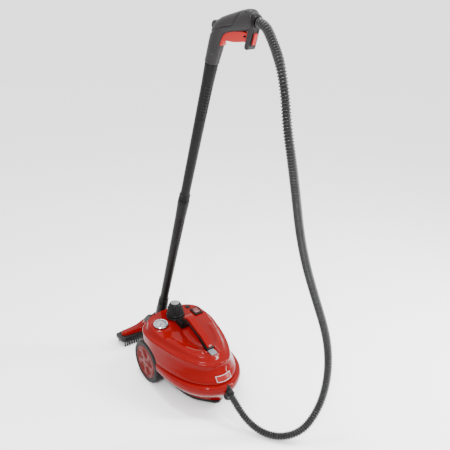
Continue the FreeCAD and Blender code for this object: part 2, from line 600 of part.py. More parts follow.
upper_button = placed_on_wand(button_bore(2 * TUBE_PITCH + BUTTON_S, BUTTON_R + FIT, 8, 6))
for name, half in (("gun_shell_left", left_half), ("gun_shell_right", right_half)):
    half = placed_on_gun(biggest(half.cut(pin_seat).cut(collar)))
    parts[name] = biggest(half.cut(upper_button))
parts["trigger"] = placed_on_gun(trigger.cut(pin_hole))
parts["trigger_pin"] = placed_on_gun(pin_seat)
slider = join(box(119.4, 123, -5, 5, 97, 123), box(113, 119.4, -4.4, 4.4, 97, 123))
parts["trigger_lock"] = placed_on_gun(slider)
parts["valve_body"] = placed_on_gun(turned([(0, 31), (8.4, 31), (8.4, 36), (5.5, 38), (5.5, 52),
                                            (0, 52)]))
parts["hose_collar"] = placed_on_gun(collar)

screw_spots = ((-18, 88), (-3, 13), (84, 152))
gun_screws = []
for f, h in screw_spots:
    gun_screws.append(cyl(2.6, 5.0, V(f, -19.0 if h > 20 else -15.5, h), V(0, 1, 0)))
parts["gun_screws"] = Part.makeCompound([placed_on_gun(screw) for screw in gun_screws])
parts["gun_shell_left"] = parts["gun_shell_left"].cut(parts["gun_screws"])

# ---- steam hose: straight runs joined by tangent arcs ---------------------------------
hose_exit = gun_place.multVec(HOSE_END + exit_dir * COLLAR_L)
hose_way = gun_place.Rotation.multVec(exit_dir)
nose_exit = ELBOW + NOSE_WAY * 14
HOSE_ROUTE = [
    nose_exit,
    nose_exit + NOSE_WAY * 48,
    V(8, -383, 25), V(24, -423, 13), V(50, -460, 13), V(81, -489, 28), V(112, -506, 57),
    V(149, -512, 114), V(173, -507, 179), V(182, -497, 247), V(177, -484, 320), V(148, -467, 422),
    V(113, -460, 525), V(81, -464, 626), V(55, -473, 722), V(33, -478, 809), V(17, -475, 887),
    V(14, -467, 960), V(17, -446, 1020), V(30, -412, 1052), V(35, -386, 1080),
    hose_exit + hose_way * 22,
    hose_exit,
]


def rounded_path(points):
    """Wire of straight runs and tangent arcs through points, and its smallest radius."""
    edges = []
    radii = []
    at = points[0]
    for before, corner, after in zip(points, points[1:], points[2:]):
        come = (corner - before)
        go = (after - corner)
        run = min(come.Length, go.Length)
        come = V(come).normalize()
        go = V(go).normalize()
        turn = come.getAngle(go)
        setback = 0.45 * run
        radius = setback / math.tan(turn / 2)
        start = corner - come * setback
        end = corner + go * setback
        inward = (go - come).normalize()
        reach = radius / math.cos(turn / 2) - radius
        edges.append(Part.LineSegment(at, start).toShape())
        edges.append(Part.Arc(start, corner + inward * reach, end).toShape())
        radii.append(radius)
        at = end
    edges.append(Part.LineSegment(at, points[-1]).toShape())
    return Part.Wire(edges), radii


def swept_tube(wire, r, start_way):
    ring = Part.Wire(Part.makeCircle(r, wire.Vertexes[0].Point, start_way))
    return wire.makePipeShell([ring], True, True, 1)


hose_wire, hose_radii = rounded_path(HOSE_ROUTE)
hose = swept_tube(hose_wire, HOSE_R, NOSE_WAY)
print("hose length %.1f, tightest bend %.0f" % (hose_wire.Length, min(hose_radii)))
parts["hose"] = hose

# ---- one frame: bottom centre of everything but the hose is the origin ----------------
reach = FreeCAD.BoundBox()
for name, shape in parts.items():
    if name != "hose":
        reach.add(shape.BoundBox)
shift = V(-reach.Center.x, -reach.Center.y, -reach.ZMin)
print("shift %.4f %.4f %.4f" % (shift.x, shift.y, shift.z))

os.makedirs("parts", exist_ok=True)
for name, shape in parts.items():
    moved = shape.copy()
    moved.translate(shift)
    moved.exportStep("parts/%s.step" % name)
    if not moved.isValid() or any(solid.Volume <= 0 for solid in moved.Solids) or not moved.Solids:
        print("CHECK", name, moved.isValid(), len(moved.Solids))
print(len(parts), "nodes")
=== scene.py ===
import json
import math

import bmesh
import bpy
import numpy as np
from mathutils import Matrix, Vector


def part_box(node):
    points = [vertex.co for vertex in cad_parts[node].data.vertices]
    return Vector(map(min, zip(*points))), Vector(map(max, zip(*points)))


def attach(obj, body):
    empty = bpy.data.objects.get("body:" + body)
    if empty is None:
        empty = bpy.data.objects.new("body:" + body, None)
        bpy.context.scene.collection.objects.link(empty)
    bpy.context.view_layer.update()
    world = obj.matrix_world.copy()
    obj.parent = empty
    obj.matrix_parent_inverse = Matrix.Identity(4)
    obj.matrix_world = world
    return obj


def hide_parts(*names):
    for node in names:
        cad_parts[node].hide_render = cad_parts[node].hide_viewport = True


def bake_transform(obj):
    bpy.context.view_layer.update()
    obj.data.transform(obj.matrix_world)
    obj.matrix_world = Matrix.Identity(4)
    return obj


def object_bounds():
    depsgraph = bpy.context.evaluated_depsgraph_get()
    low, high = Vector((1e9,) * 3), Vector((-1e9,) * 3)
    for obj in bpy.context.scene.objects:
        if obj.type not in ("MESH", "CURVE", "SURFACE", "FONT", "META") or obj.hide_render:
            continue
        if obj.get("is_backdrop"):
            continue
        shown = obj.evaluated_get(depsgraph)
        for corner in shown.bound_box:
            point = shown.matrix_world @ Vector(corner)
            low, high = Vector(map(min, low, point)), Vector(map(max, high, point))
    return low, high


# Canister steam cleaner parked with its wand upright. Shapes are drawn in the machine's own
# millimetres: the floor point under the wheel axle is the origin, nose towards -Y, up is +Z.

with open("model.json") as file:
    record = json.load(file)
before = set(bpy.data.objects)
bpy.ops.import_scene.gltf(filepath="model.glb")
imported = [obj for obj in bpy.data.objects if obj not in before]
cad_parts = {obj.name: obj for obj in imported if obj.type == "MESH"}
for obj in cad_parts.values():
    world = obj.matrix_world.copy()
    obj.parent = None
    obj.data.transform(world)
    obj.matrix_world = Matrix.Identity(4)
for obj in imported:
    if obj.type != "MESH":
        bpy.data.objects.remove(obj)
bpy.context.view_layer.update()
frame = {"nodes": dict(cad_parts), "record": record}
nodes = frame["nodes"]

MM = 0.001
left_tyre, right_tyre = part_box("tyre_left"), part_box("tyre_right")
ORIGIN = Vector(((left_tyre[0].x + right_tyre[1].x) / 2, (left_tyre[0].y + left_tyre[1].y) / 2, 0))
TYRE_R = (left_tyre[1].z - left_tyre[0].z) / 2 / MM
TYRE_IN = (right_tyre[0].x - ORIGIN.x) / MM
TYRE_OUT = (right_tyre[1].x - ORIGIN.x) / MM


def at(x, y, z):
    """Row-frame point of a machine point given in millimetres."""
    return ORIGIN + Vector((x, y, z)) * MM


# ---- camera -------------------------------------------------------------------------------
CAMERA_AT = (-833.93, -1395.14, 1166.63)
CAMERA_TURN = math.radians(-36.552)
CAMERA_DOWN = math.radians(21.992)
CAMERA_LENS = 46.39

camera = bpy.data.objects.new("camera", bpy.data.cameras.new("camera"))
bpy.context.scene.collection.objects.link(camera)
camera.data.sensor_width = 36
camera.data.lens = CAMERA_LENS
camera.location = at(*CAMERA_AT)
camera.rotation_euler = (math.pi / 2 - CAMERA_DOWN, 0, CAMERA_TURN)
bpy.context.scene.camera = camera


# ---- finishes -----------------------------------------------------------------------------
def finish(name, colour, roughness, grain=900.0, depth=0.1, mottle=0.08, **shader):
    """Node material: mottled colour, uneven roughness and a fine grain of the given scale."""
    material = bpy.data.materials.new(name)
    material.use_nodes = True
    tree = material.node_tree
    surface = tree.nodes["Principled BSDF"]
    place = tree.nodes.new("ShaderNodeTexCoord")

    def noise(scale, detail):
        node = tree.nodes.new("ShaderNodeTexNoise")
        node.inputs["Scale"].default_value = scale
        node.inputs["Detail"].default_value = detail
        tree.links.new(place.outputs["Object"], node.inputs["Vector"])
        return node.outputs["Fac"]

    def spread(source, low, high):
        node = tree.nodes.new("ShaderNodeMapRange")
        node.inputs["To Min"].default_value = low
        node.inputs["To Max"].default_value = high
        tree.links.new(source, node.inputs["Value"])
        return node.outputs["Result"]

    tint = tree.nodes.new("ShaderNodeHueSaturation")
    tint.inputs["Color"].default_value = (*colour, 1)
    tree.links.new(spread(noise(14.0, 3.0), 1 - mottle, 1 + mottle), tint.inputs["Value"])
    tree.links.new(tint.outputs["Color"], surface.inputs["Base Color"])
    tree.links.new(spread(noise(55.0, 4.0), roughness * 0.8, roughness * 1.2), surface.inputs["Roughness"])
    bump = tree.nodes.new("ShaderNodeBump")
    bump.inputs["Strength"].default_value = depth
    bump.inputs["Distance"].default_value = 0.0006
    tree.links.new(noise(grain, 2.0), bump.inputs["Height"])
    tree.links.new(bump.outputs["Normal"], surface.inputs["Normal"])
    for socket, value in shader.items():
        surface.inputs[socket.replace("_", " ")].default_value = value
    return material


LOOKS = {
    "red_gloss": finish("red gloss plastic", (0.120, 0.0012, 0.0011), 0.1, 60.0, 0.03, 0.05, IOR=1.18),
    "black_matt": finish("black plastic", (0.0045, 0.0040, 0.0041), 0.36, 1500.0, 0.2, 0.12, IOR=1.2),
    "grey_grip": finish("textured grey plastic", (0.0125, 0.0115, 0.0122), 0.4, 1800.0, 0.3, 0.1, IOR=1.25),
    "red_trigger": finish("satin red plastic", (0.27, 0.006, 0.005), 0.36, 1200.0, 0.12, 0.06, IOR=1.3),
    "hub_red": finish("dull red hubcap", (0.085, 0.008, 0.0075), 0.36, 400.0, 0.08, 0.08, IOR=1.18),
    "tyre": finish("tyre plastic", (0.0065, 0.0062, 0.0066), 0.5, 1400.0, 0.2, 0.12, IOR=1.18),
    "hose_black": finish("hose plastic", (0.0010, 0.0009, 0.0010), 0.13, 700.0, 0.05, 0.15, IOR=1.42),
    "steel": finish("steel", (0.45, 0.45, 0.46), 0.3, 1500.0, 0.1, 0.05, Metallic=1.0),
    "chrome": finish("chrome", (0.36, 0.36, 0.38), 0.12, 300.0, 0.02, 0.03, Metallic=1.0),
    "aluminium": finish("aluminium", (0.62, 0.62, 0.63), 0.35, 1200.0, 0.15, 0.05, Metallic=1.0),
    "dial_white": finish("dial", (0.36, 0.36, 0.39), 0.4, 900.0, 0.03, 0.03),
    "clear": finish("clear cover", (0.96, 0.98, 0.98), 0.05, 200.0, 0.01, 0.01,
                    Transmission_Weight=1.0, IOR=1.2),
    "needle_black": finish("pointer paint", (0.01, 0.01, 0.01), 0.4, 900.0, 0.05, 0.05),
    "rocker_red": finish("clear red rocker", (0.09, 0.001, 0.001), 0.12, 300.0, 0.04, 0.1,
                         Coat_Weight=0.5),
    "lens_grey": finish("grey lens", (0.12, 0.127, 0.137), 0.28, 900.0, 0.1, 0.1, Coat_Weight=0.3),
    "badge": finish("raised plate", (0.15, 0.0014, 0.0013), 0.3, 400.0, 0.05, 0.05,
                    Specular_IOR_Level=0.25),
    "bristle": finish("nylon tuft", (0.004, 0.004, 0.0045), 0.5, 3000.0, 0.5, 0.2),
    "seal": finish("silicone seal", (0.25, 0.05, 0.04), 0.5, 900.0, 0.1, 0.1),
}
for part in frame["record"]["subparts"]:
    mesh = nodes[part["node"]].data
    mesh.materials.clear()
    mesh.materials.append(LOOKS[part["material_slot"]])
for pin in ("trigger_pin", "pitch_pin", "head_yoke"):
    nodes[pin].data.materials[0] = LOOKS["black_matt"]


# ---- mesh tools ---------------------------------------------------------------------------
BEVEL_FROM = math.radians(28)   # edges that turn more than this are rounded
WELD = 1e-6                     # metres


def piece(name, points, faces, body, slot, stands_for=(), crease=35.0, soften=0.0):
    """Mesh object from machine points; soften rounds its sharp edges by that many millimetres.

    The hose has no body of its own.
    """
    data = bpy.data.meshes.new(name)
    data.from_pydata([at(*point) for point in points], [], [list(face) for face in faces])
    build = bmesh.new()
    build.from_mesh(data)
    bmesh.ops.remove_doubles(build, verts=build.verts, dist=WELD)
    bmesh.ops.recalc_face_normals(build, faces=build.faces)
    if soften:
        sharp = [e for e in build.edges if e.is_manifold and e.calc_face_angle() > BEVEL_FROM]
        bmesh.ops.bevel(build, geom=sharp, offset=soften * MM, segments=3, profile=0.6, affect="EDGES",
                        clamp_overlap=True)
    build.to_mesh(data)
    build.free()
    data.shade_smooth()
    data.set_sharp_from_angle(angle=math.radians(crease))
    data.materials.append(LOOKS[slot])
    obj = bpy.data.objects.new(name, data)
    bpy.context.scene.collection.objects.link(obj)
    if body:
        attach(obj, body)
    if stands_for:
        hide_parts(*stands_for)
    return obj


def grid_faces(rows, columns, closed=True):
    """Quads between successive rows of points; closed rows join their last point to their first."""
    faces = []
    for row in range(rows - 1):
        for column in range(columns if closed else columns - 1):
            after = (column + 1) % columns
            a, b = row * columns, (row + 1) * columns
            faces.append((a + column, a + after, b + after, b + column))
    return faces


def skin(rings, capped=True):
    """Points and faces of a surface through closed rings."""
    rings = np.asarray(rings, float)
    count, around = rings.shape[:2]
    faces = grid_faces(count, around)
    if capped:
        faces.append(tuple(range(around)))
        faces.append(tuple((count - 1) * around + k for k in range(around)))
    return rings.reshape(-1, 3), faces


def flow(rows, steps, closed=False):
    """Smooth rows between the given ones; rows that crowd together make a tight bend."""
    rows = np.asarray(rows, float)
    count = len(rows)
    ahead = np.roll(rows, -1, 0) - rows
    span = np.linalg.norm(ahead, axis=-1, keepdims=True) + 1e-9
    slope = ahead / span
    slope_in, span_in = np.roll(slope, 1, 0), np.roll(span, 1, 0)
    lean = (slope * span_in + slope_in * span) / (span + span_in)
    if not closed:
        lean[0], lean[-1] = slope[0], slope_in[-1]
    filled = []
    for i in range(count if closed else count - 1):
        j = (i + 1) % count
        for step in range(steps):
            t = step / steps
            filled.append((2 * t**3 - 3 * t**2 + 1) * rows[i] + (t**3 - 2 * t**2 + t) * span[i] * lean[i]
                          + (3 * t**2 - 2 * t**3) * rows[j] + (t**3 - t**2) * span[i] * lean[j])
    if not closed:
        filled.append(rows[-1])
    return np.array(filled)


def turned(profile, place, around=64, shape=None):
    """Rings of a turned part: profile is (radius, height); place maps (x, y, height) to the machine."""
    rings = []
    for radius, height in profile:
        ring = []
        for k in range(around):
            angle = 2 * math.pi * k / around
            r = radius if shape is None else shape(radius, height, angle)
            ring.append(place(r * math.cos(angle), r * math.sin(angle), height))
        rings.append(ring)
    return rings


def rounded(profile, steps=3, closed=False):
    """A finer, smoother version of a (radius, height) profile."""
    return [tuple(point) for point in flow(profile, steps, closed)]


def bell(distance, width):
    """Smooth bump: 1 at no distance, fading out over about two widths."""
    return math.exp(-((distance / width) ** 2))


def all_of(*surfaces):
    """One list of points and faces from several."""
    points, faces = [], []
    for more_points, more_faces in surfaces:
        faces += [tuple(k + len(points) for k in face) for face in more_faces]
        points += [tuple(point) for point in more_points]
    return points, faces


def slab(outline, place, low, high):
    """Outline in a plane given thickness: place maps (u, v, depth) to the machine."""
    rings = [[place(u, v, low) for u, v in outline], [place(u, v, high) for u, v in outline]]
    return skin(rings)


# ---- where the wand and its gun stand -----------------------------------------------------
WAND_FOOT = Vector((17.3, 103.1, 194.8))
WAND_WAY = Vector((0.008, -0.3546, 1.0)).normalized()
WAND_TURN = Vector((0, 0, 1)).rotation_difference(WAND_WAY)
TUBE_PITCH = 428.0
GUN_TWIST = math.radians(6.0)       # the gun points this far towards +X
GUN_FOOT = WAND_FOOT + WAND_WAY * 2 * TUBE_PITCH
level_ahead = (Vector((0, -1, 0)) - WAND_WAY * Vector((0, -1, 0)).dot(WAND_WAY)).normalized()
GUN_AHEAD = Matrix.Rotation(GUN_TWIST, 3, WAND_WAY) @ level_ahead
GUN_ACROSS = GUN_AHEAD.cross(WAND_WAY)


def gun(ahead, side, up):
    """Machine point of a gun point: ahead towards the hose, side to the gun's right, up the wand."""
    return tuple(GUN_FOOT + GUN_AHEAD * ahead - GUN_ACROSS * side + WAND_WAY * up)


def wand(x, y, up):
    """Machine point of a wand point, up from the rim of the floor head's neck."""
    return tuple(WAND_FOOT + WAND_TURN @ Vector((x, y, up)))


# ---- steam hose ---------------------------------------------------------------------------
HOSE_R = 11.8                   # over the ribs
HOSE_VALLEY = 8.35              # between the ribs
HOSE_PITCH = 7.25
HOSE_SIDES = 20
RIB_SHARPNESS = 1.2
GUIDE_STEPS = 120               # points of the hose line per control point
ELBOW = Vector((0, -290, 84))
NOSE_WAY = Vector((0, -0.82, -0.57)).normalized()
EXIT_WAY = Vector((1, 0, 0.08)).normalized()
COLLAR_AT = (101.0, 147.5)
COLLAR_L = 18.0
hose_start = ELBOW + NOSE_WAY * 14
collar_end = (COLLAR_AT[0] + EXIT_WAY.x * COLLAR_L, 0, COLLAR_AT[1] + EXIT_WAY.z * COLLAR_L)
hose_end = Vector(gun(*collar_end))
hose_way = (Vector(gun(collar_end[0] + EXIT_WAY.x, 0, collar_end[2] + EXIT_WAY.z)) - hose_end).normalized()
HOSE_ROUTE = [
    hose_start,
    hose_start + NOSE_WAY * 48,
    (8, -383, 25), (24, -423, 13), (50, -460, 13), (81, -489, 28), (112, -506, 57),
    (149, -512, 114), (173, -507, 179), (182, -497, 247), (177, -484, 320), (148, -467, 422),
    (113, -460, 525), (81, -464, 626), (55, -473, 722), (33, -478, 809), (17, -475, 887),
    (14, -467, 960), (17, -446, 1020), (30, -412, 1052), (35, -386, 1080),
    hose_end + hose_way * 22,
    hose_end,
]
guide = bpy.data.curves.new("hose line", "CURVE")
guide.dimensions = "3D"
guide.resolution_u = GUIDE_STEPS
spline = guide.splines.new("NURBS")
spline.points.add(len(HOSE_ROUTE) - 1)
for knot, place in zip(spline.points, HOSE_ROUTE):
    knot.co = (*at(*place), 1)
spline.order_u = 3
spline.use_endpoint_u = True
guide_object = bpy.data.objects.new("hose line", guide)
hose_line = [vert.co.copy() for vert in bpy.data.meshes.new_from_object(guide_object).vertices]
bpy.data.objects.remove(guide_object)

rings = []
run = 0.0
side = Vector((1, 0, 0))
for index, point in enumerate(hose_line):
    ahead = hose_line[min(index + 1, len(hose_line) - 1)] - hose_line[max(index - 1, 0)]
    ahead.normalize()
    side = (side - ahead * side.dot(ahead)).normalized()
    other = ahead.cross(side)
    if index:
        run += (point - hose_line[index - 1]).length / MM
    crest = (0.5 + 0.5 * math.cos(2 * math.pi * run / HOSE_PITCH)) ** RIB_SHARPNESS
    radius = (HOSE_VALLEY + (HOSE_R - HOSE_VALLEY) * crest) * MM
    ring = []
    for k in range(HOSE_SIDES):
        angle = 2 * math.pi * k / HOSE_SIDES
        ring.append((point + (side * math.cos(angle) + other * math.sin(angle)) * radius - ORIGIN) / MM)
    rings.append([tuple(corner) for corner in ring])

# rib crests are glossier and valleys rougher; crests are also painted lighter as a painted highlight and
# valleys painted near black as painted shade; the mesh's pointiness tells them apart
VALLEY_POINTINESS, CREST_POINTINESS = 0.5, 0.56
hose_tree = LOOKS["hose_black"].node_tree
hose_surface = hose_tree.nodes["Principled BSDF"]
relief = hose_tree.nodes.new("ShaderNodeNewGeometry")
# base colour carries painted highlight on crests and painted shade in valleys; roughness carries real gloss
for socket, valley, crest in (("Base Color", 0.0004, 0.013), ("Roughness", 0.6, 0.1)):
    painted_light_and_gloss = hose_tree.nodes.new("ShaderNodeMapRange")
    painted_light_and_gloss.inputs["From Min"].default_value = VALLEY_POINTINESS
    painted_light_and_gloss.inputs["From Max"].default_value = CREST_POINTINESS
    painted_light_and_gloss.inputs["To Min"].default_value = valley
    painted_light_and_gloss.inputs["To Max"].default_value = crest
    hose_tree.links.new(relief.outputs["Pointiness"], painted_light_and_gloss.inputs["Value"])
    hose_tree.links.new(painted_light_and_gloss.outputs["Result"], hose_surface.inputs[socket])
hose = piece("ribbed_steam_hose", *skin(rings), None, "hose_black", ["hose"], crease=60)
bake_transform(hose)


# ---- red casing ---------------------------------------------------------------------------
HULL_BASE = [(0, -247), (30, -226), (56, -190), (70, -140), (76, -80), (77, -20), (76, 18), (62, 46),
             (32, 56), (0, 58)]
HULL_LOW = [(0, -272), (48, -248), (80, -207), (96, -155), (100, -85), (98, -22), (92, 16), (72, 45),
            (36, 58), (0, 60)]
HULL_WIDE = [(0, -289), (60, -262), (95, -217), (113, -160), (118, -88), (115, -24), (107, 16), (82, 46),
             (40, 59), (0, 61)]
TIER_FOOT = [(0, -274), (52, -251), (83, -211), (102, -157), (112, -88), (113, -24), (106, 16), (82, 46),
             (40, 59), (0, 61)]
TIER_WAIST = [(0, -260), (46, -242), (75, -204), (96, -152), (109, -86), (114, -24), (108, 16), (83, 46),
              (40, 59), (0, 61)]
TIER_RIM = [(0, -249), (41, -238), (67, -204), (91, -150), (108, -86), (117, -28), (111, 16), (85, 46),
            (41, 58), (0, 60)]
TIER_DECK = [(0, -222), (33, -212), (54, -180), (74, -130), (89, -72), (97, -22), (92, 12), (70, 35),
             (34, 44), (0, 46)]
MIDDLE_Y = -110.0
BASE_Z = 28.0
LEDGE_Z = 104.0
RIM_Y, RIM_Z, RIM_SLOPE = -249.0, 158.0, 0.085
DECK_Y, DECK_Z, DECK_SLOPE = -215.0, 172.0, 0.12
WALL = 2.6
SPAN_STEPS = 12                 # points between two outline points
LEVEL_STEPS = 6                 # rows between two levels
DECK_ROWS = 46
CASING_CREASE = math.radians(38)
CAP_Y = -3.5
GAUGE_X, GAUGE_Y, GAUGE_R = -63.0, -18.0, 23.0
SWITCH_X, SWITCH_Y = 73.0, -14.0
LENS_Y = -208.0
SURROUND_R, SURROUND_BACK_Y = 18, -192
SCOOP_Y = -118.0
SCOOP_RX, SCOOP_RY, SCOOP_RZ = 35.0, 64.0, 24.0
ARCH_R, ARCH_X = 76.0, 78.5


def level(half, z, slope=0.0, y0=0.0, inset=0.0):
    """Closed smooth outline from its right half, pulled in by inset, at a height that may slope."""
    loop = []
    for x, y in half + [(-x, y) for x, y in half[-2:0:-1]]:
        reach = math.hypot(x, y - MIDDLE_Y)
        keep = (reach - inset) / reach
        x, y = x * keep, MIDDLE_Y + (y - MIDDLE_Y) * keep
        loop.append((x, y, z + slope * (y - y0)))
    return flow(loop, SPAN_STEPS, closed=True)


def deck_plane(y):
    """Height of the plain deck, before its hollows and ridges."""
    return DECK_Z + DECK_SLOPE * (y - DECK_Y)


def surround(x, y):
    """Distance from the U-shaped ridge in front of and beside the lens."""
    if y > LENS_Y:
        return math.hypot(abs(x) - SURROUND_R, max(0.0, y - SURROUND_BACK_Y))
    return abs(math.hypot(x, y - LENS_Y) - SURROUND_R)


# soft ridge that runs back from the lens round each side of the deck
CREST = [(18, -196), (44, -174), (62, -139), (72, -95)]
CREST_RISE = 3.0


def distance_to(line, x, y):
    """Distance of a point from a line of straight runs."""
    best = 99.0
    for (x0, y0), (x1, y1) in zip(line, line[1:]):
        dx, dy = x1 - x0, y1 - y0
        t = min(1.0, max(0.0, ((x - x0) * dx + (y - y0) * dy) / (dx * dx + dy * dy)))
        best = min(best, math.hypot(x - x0 - t * dx, y - y0 - t * dy))
    return best


def deck_height(x, y):
    """Height of the top of the casing, with its hand scoop, rings and ridges."""
    z = deck_plane(y)
    z += 3.2 * bell(math.hypot(x - GAUGE_X, y - GAUGE_Y) - 28, 4.0)
    z += 4.2 * bell(surround(x, y), 4.2)
    z += CREST_RISE * bell(distance_to(CREST, abs(x), y), 7.0)
    spread = (x / SCOOP_RX) ** 2 + ((y - SCOOP_Y) / SCOOP_RY) ** 2
    if spread < 1:
        z -= SCOOP_RZ * (1 - spread) ** 0.8
    return z


def shell(name, rows, node, cutters):
    """Casing wall through the rows, thickened inwards and cut by the cutters."""
    points, faces = skin(rows, capped=False)
    obj = piece(name, points, faces, "machine", "red_gloss", [node])
    wall = obj.modifiers.new("wall", "SOLIDIFY")
    wall.thickness = WALL * MM
    wall.offset = -1
    for cutter in cutters:
        cut = obj.modifiers.new("cut", "BOOLEAN")
        cut.operation = "DIFFERENCE"
        cut.solver = "EXACT"
        cut.object = cutter
    made = bpy.data.meshes.new_from_object(obj.evaluated_get(bpy.context.evaluated_depsgraph_get()))
    obj.modifiers.clear()
    obj.data = made
    made.shade_smooth()
    made.set_sharp_from_angle(angle=CASING_CREASE)
    return obj


def cutter(name, rings):
    """Closed solid that a casing wall is cut with."""
    points, faces = skin(rings)
    data = bpy.data.meshes.new(name)
    data.from_pydata([at(*point) for point in points], [], faces)
    build = bmesh.new()
    build.from_mesh(data)
    bmesh.ops.recalc_face_normals(build, faces=build.faces)
    build.to_mesh(data)
    build.free()
    obj = bpy.data.objects.new(name, data)
    bpy.context.scene.collection.objects.link(obj)
    return obj


def deck_hole(x, y, outline):
    """Upright cutter through the deck at (x, y)."""
    return cutter("hole", [[(x + u, y + v, z) for u, v in outline] for z in (deck_plane(y) - 30, 260)])


def circle(r, count=72):
    """Corners of a regular polygon about the origin."""
    turns = [2 * math.pi * k / count for k in range(count)]
    return [(r * math.cos(turn), r * math.sin(turn)) for turn in turns]


wheel_rooms = []
for way in (-1, 1):
    walls = [[(way * x, y, TYRE_R + z) for y, z in circle(ARCH_R, 128)] for x in (ARCH_X, ARCH_X + 70)]
    wheel_rooms.append(cutter("wheel room", walls))
deck_holes = [
    deck_hole(0, CAP_Y, circle(20)),
    deck_hole(GAUGE_X, GAUGE_Y, circle(GAUGE_R - 3)),
    deck_hole(SWITCH_X, SWITCH_Y, [(-11.4, -14.4), (11.4, -14.4), (11.4, 14.4), (-11.4, 14.4)]),
    deck_hole(0, LENS_Y, [(-8, -9), (8, -9), (8, 9), (-8, 9)]),
]

lower_levels = [
    level(HULL_BASE, BASE_Z, inset=2.4),
    level(HULL_BASE, BASE_Z + 0.6, inset=0.5),
    level(HULL_BASE, BASE_Z + 2.5),
    level(HULL_LOW, 60),
    level(HULL_WIDE, 86),
    level(HULL_WIDE, 95),
    level(HULL_WIDE, LEDGE_Z - 4.5, inset=1.0),
    level(HULL_WIDE, LEDGE_Z - 1.2, inset=3.6),
    level(HULL_WIDE, LEDGE_Z, inset=8.0),
    level(TIER_FOOT, LEDGE_Z + 0.2, inset=0.5),
]
shell("lower_red_casing", flow(lower_levels, LEVEL_STEPS), "lower_casing", wheel_rooms)

upper_levels = [
    level(TIER_FOOT, LEDGE_Z),
    level(TIER_FOOT, LEDGE_Z + 2),
    level(TIER_WAIST, 130),
    level(TIER_RIM, RIM_Z - 9, RIM_SLOPE, RIM_Y, 0.6),
    level(TIER_RIM, RIM_Z - 4, RIM_SLOPE, RIM_Y, 0.3),
    level(TIER_RIM, RIM_Z - 0.5, RIM_SLOPE, RIM_Y, 2.0),
    level(TIER_RIM, RIM_Z + 0.8, RIM_SLOPE, RIM_Y, 5.0),
    level(TIER_RIM, RIM_Z + 1.5, RIM_SLOPE, RIM_Y, 10.0),
]
deck_edge = level(TIER_DECK, DECK_Z, DECK_SLOPE, DECK_Y)
upper_rows = list(flow(upper_levels + [deck_edge], LEVEL_STEPS))
for row in range(1, DECK_ROWS):
    keep = 1 - row / DECK_ROWS
    ring = []
    for x, y, _ in deck_edge:
        x, y = x * keep, MIDDLE_Y + (y - MIDDLE_Y) * keep
        ring.append((x, y, deck_height(x, y)))
    upper_rows.append(ring)
upper_rows[-1] = [(0, MIDDLE_Y, deck_height(0, MIDDLE_Y))] * len(deck_edge)
upper_casing = shell("upper_red_casing", upper_rows, "upper_casing", wheel_rooms + deck_holes)
for used in wheel_rooms + deck_holes:
    bpy.data.objects.remove(used)


# ---- wheels -------------------------------------------------------------------------------
HUB_R = 54.0
PETALS = 5
FACE_RINGS, FACE_SIDES = 46, 160
tyre_profile = [(HUB_R, TYRE_IN), (TYRE_R - 7, TYRE_IN),
                (TYRE_R - 4, TYRE_IN + 0.8), (TYRE_R - 1, TYRE_IN + 4),
                (TYRE_R, TYRE_IN + 8), (TYRE_R, TYRE_OUT - 8), (TYRE_R - 1, TYRE_OUT - 4),
                (TYRE_R - 4, TYRE_OUT - 0.8), (TYRE_R - 8, TYRE_OUT), (HUB_R + 3, TYRE_OUT - 0.4),
                (HUB_R + 0.6, TYRE_OUT - 2.5), (HUB_R, TYRE_OUT - 6)]


def hub_face(r, angle):
    """How far the hubcap's face stands out at a point: rim bead, hollowed petals and a boss."""
    share = r / HUB_R
    face = -1.2 - 2.2 * bell(r - (HUB_R - 5.5), 1.6) + 0.9 * bell(r - (HUB_R - 2.2), 1.8)
    turn = (angle * PETALS / (2 * math.pi) + 0.35 * share) % 1.0
    across = abs(turn - 0.5) * 2
    petal = max(0.0, 1 - ((share - 0.56) / 0.30) ** 2) * max(0.0, 1 - (across / 0.72) ** 2)
    face -= 5.0 * min(1.0, 1.6 * petal)
    return face + 2.6 * bell(r, 7.5)


def wheel_place(way):
    """Placer for a part turned about the wheel axle, out on the side way is on."""
    return lambda u, v, x: (way * x, u, TYRE_R + v)


for way, word in ((-1, "left"), (1, "right")):
    place = wheel_place(way)
    rings = turned(rounded(tyre_profile, 3), place, 96)
    piece("wheel_tyre_" + word, *skin(rings, capped=False), "wheel_" + word, "tyre",
          ["tyre_" + word], crease=50)
    rings = []
    for step in range(FACE_RINGS):
        r = HUB_R * (1 - step / (FACE_RINGS - 1)) + 0.02
        ring = []
        for k in range(FACE_SIDES):
            angle = 2 * math.pi * k / FACE_SIDES
            ring.append(place(r * math.cos(angle), r * math.sin(angle), TYRE_OUT + hub_face(r, angle)))
        rings.append(ring)
    barrel = turned([(HUB_R, TYRE_OUT - 1.2), (HUB_R, TYRE_IN + 1), (HUB_R - 3, TYRE_IN + 1),
                     (HUB_R - 3, TYRE_OUT - 10), (12, TYRE_OUT - 10),
                     (12, TYRE_IN + 1), (5.4, TYRE_IN + 1)], place, 96)
    piece("wheel_hubcap_" + word, *all_of(skin(rings, capped=False), skin(barrel, capped=False)),
          "wheel_" + word, "hub_red", ["hubcap_" + word], crease=40)


# ---- filler cap ---------------------------------------------------------------------------
CAP_R, CAP_H = 28.5, 52.0
CAP_RIBS = 26
cap_z = deck_plane(CAP_Y)


def cap_place(x, y, z):
    """Placer for the filler cap's parts, up from the deck."""
    return (x, CAP_Y + y, cap_z + z)


def cap_shape(r, h, angle):
    """Grip flutes up the cap's side and finer teeth round its foot."""
    if 17 < h < CAP_H - 7:
        return r + 0.75 * math.cos(CAP_RIBS * angle) - 0.3
    if 9 < h < 14:
        return r + 0.7 * math.cos(2 * CAP_RIBS * angle)
    return r


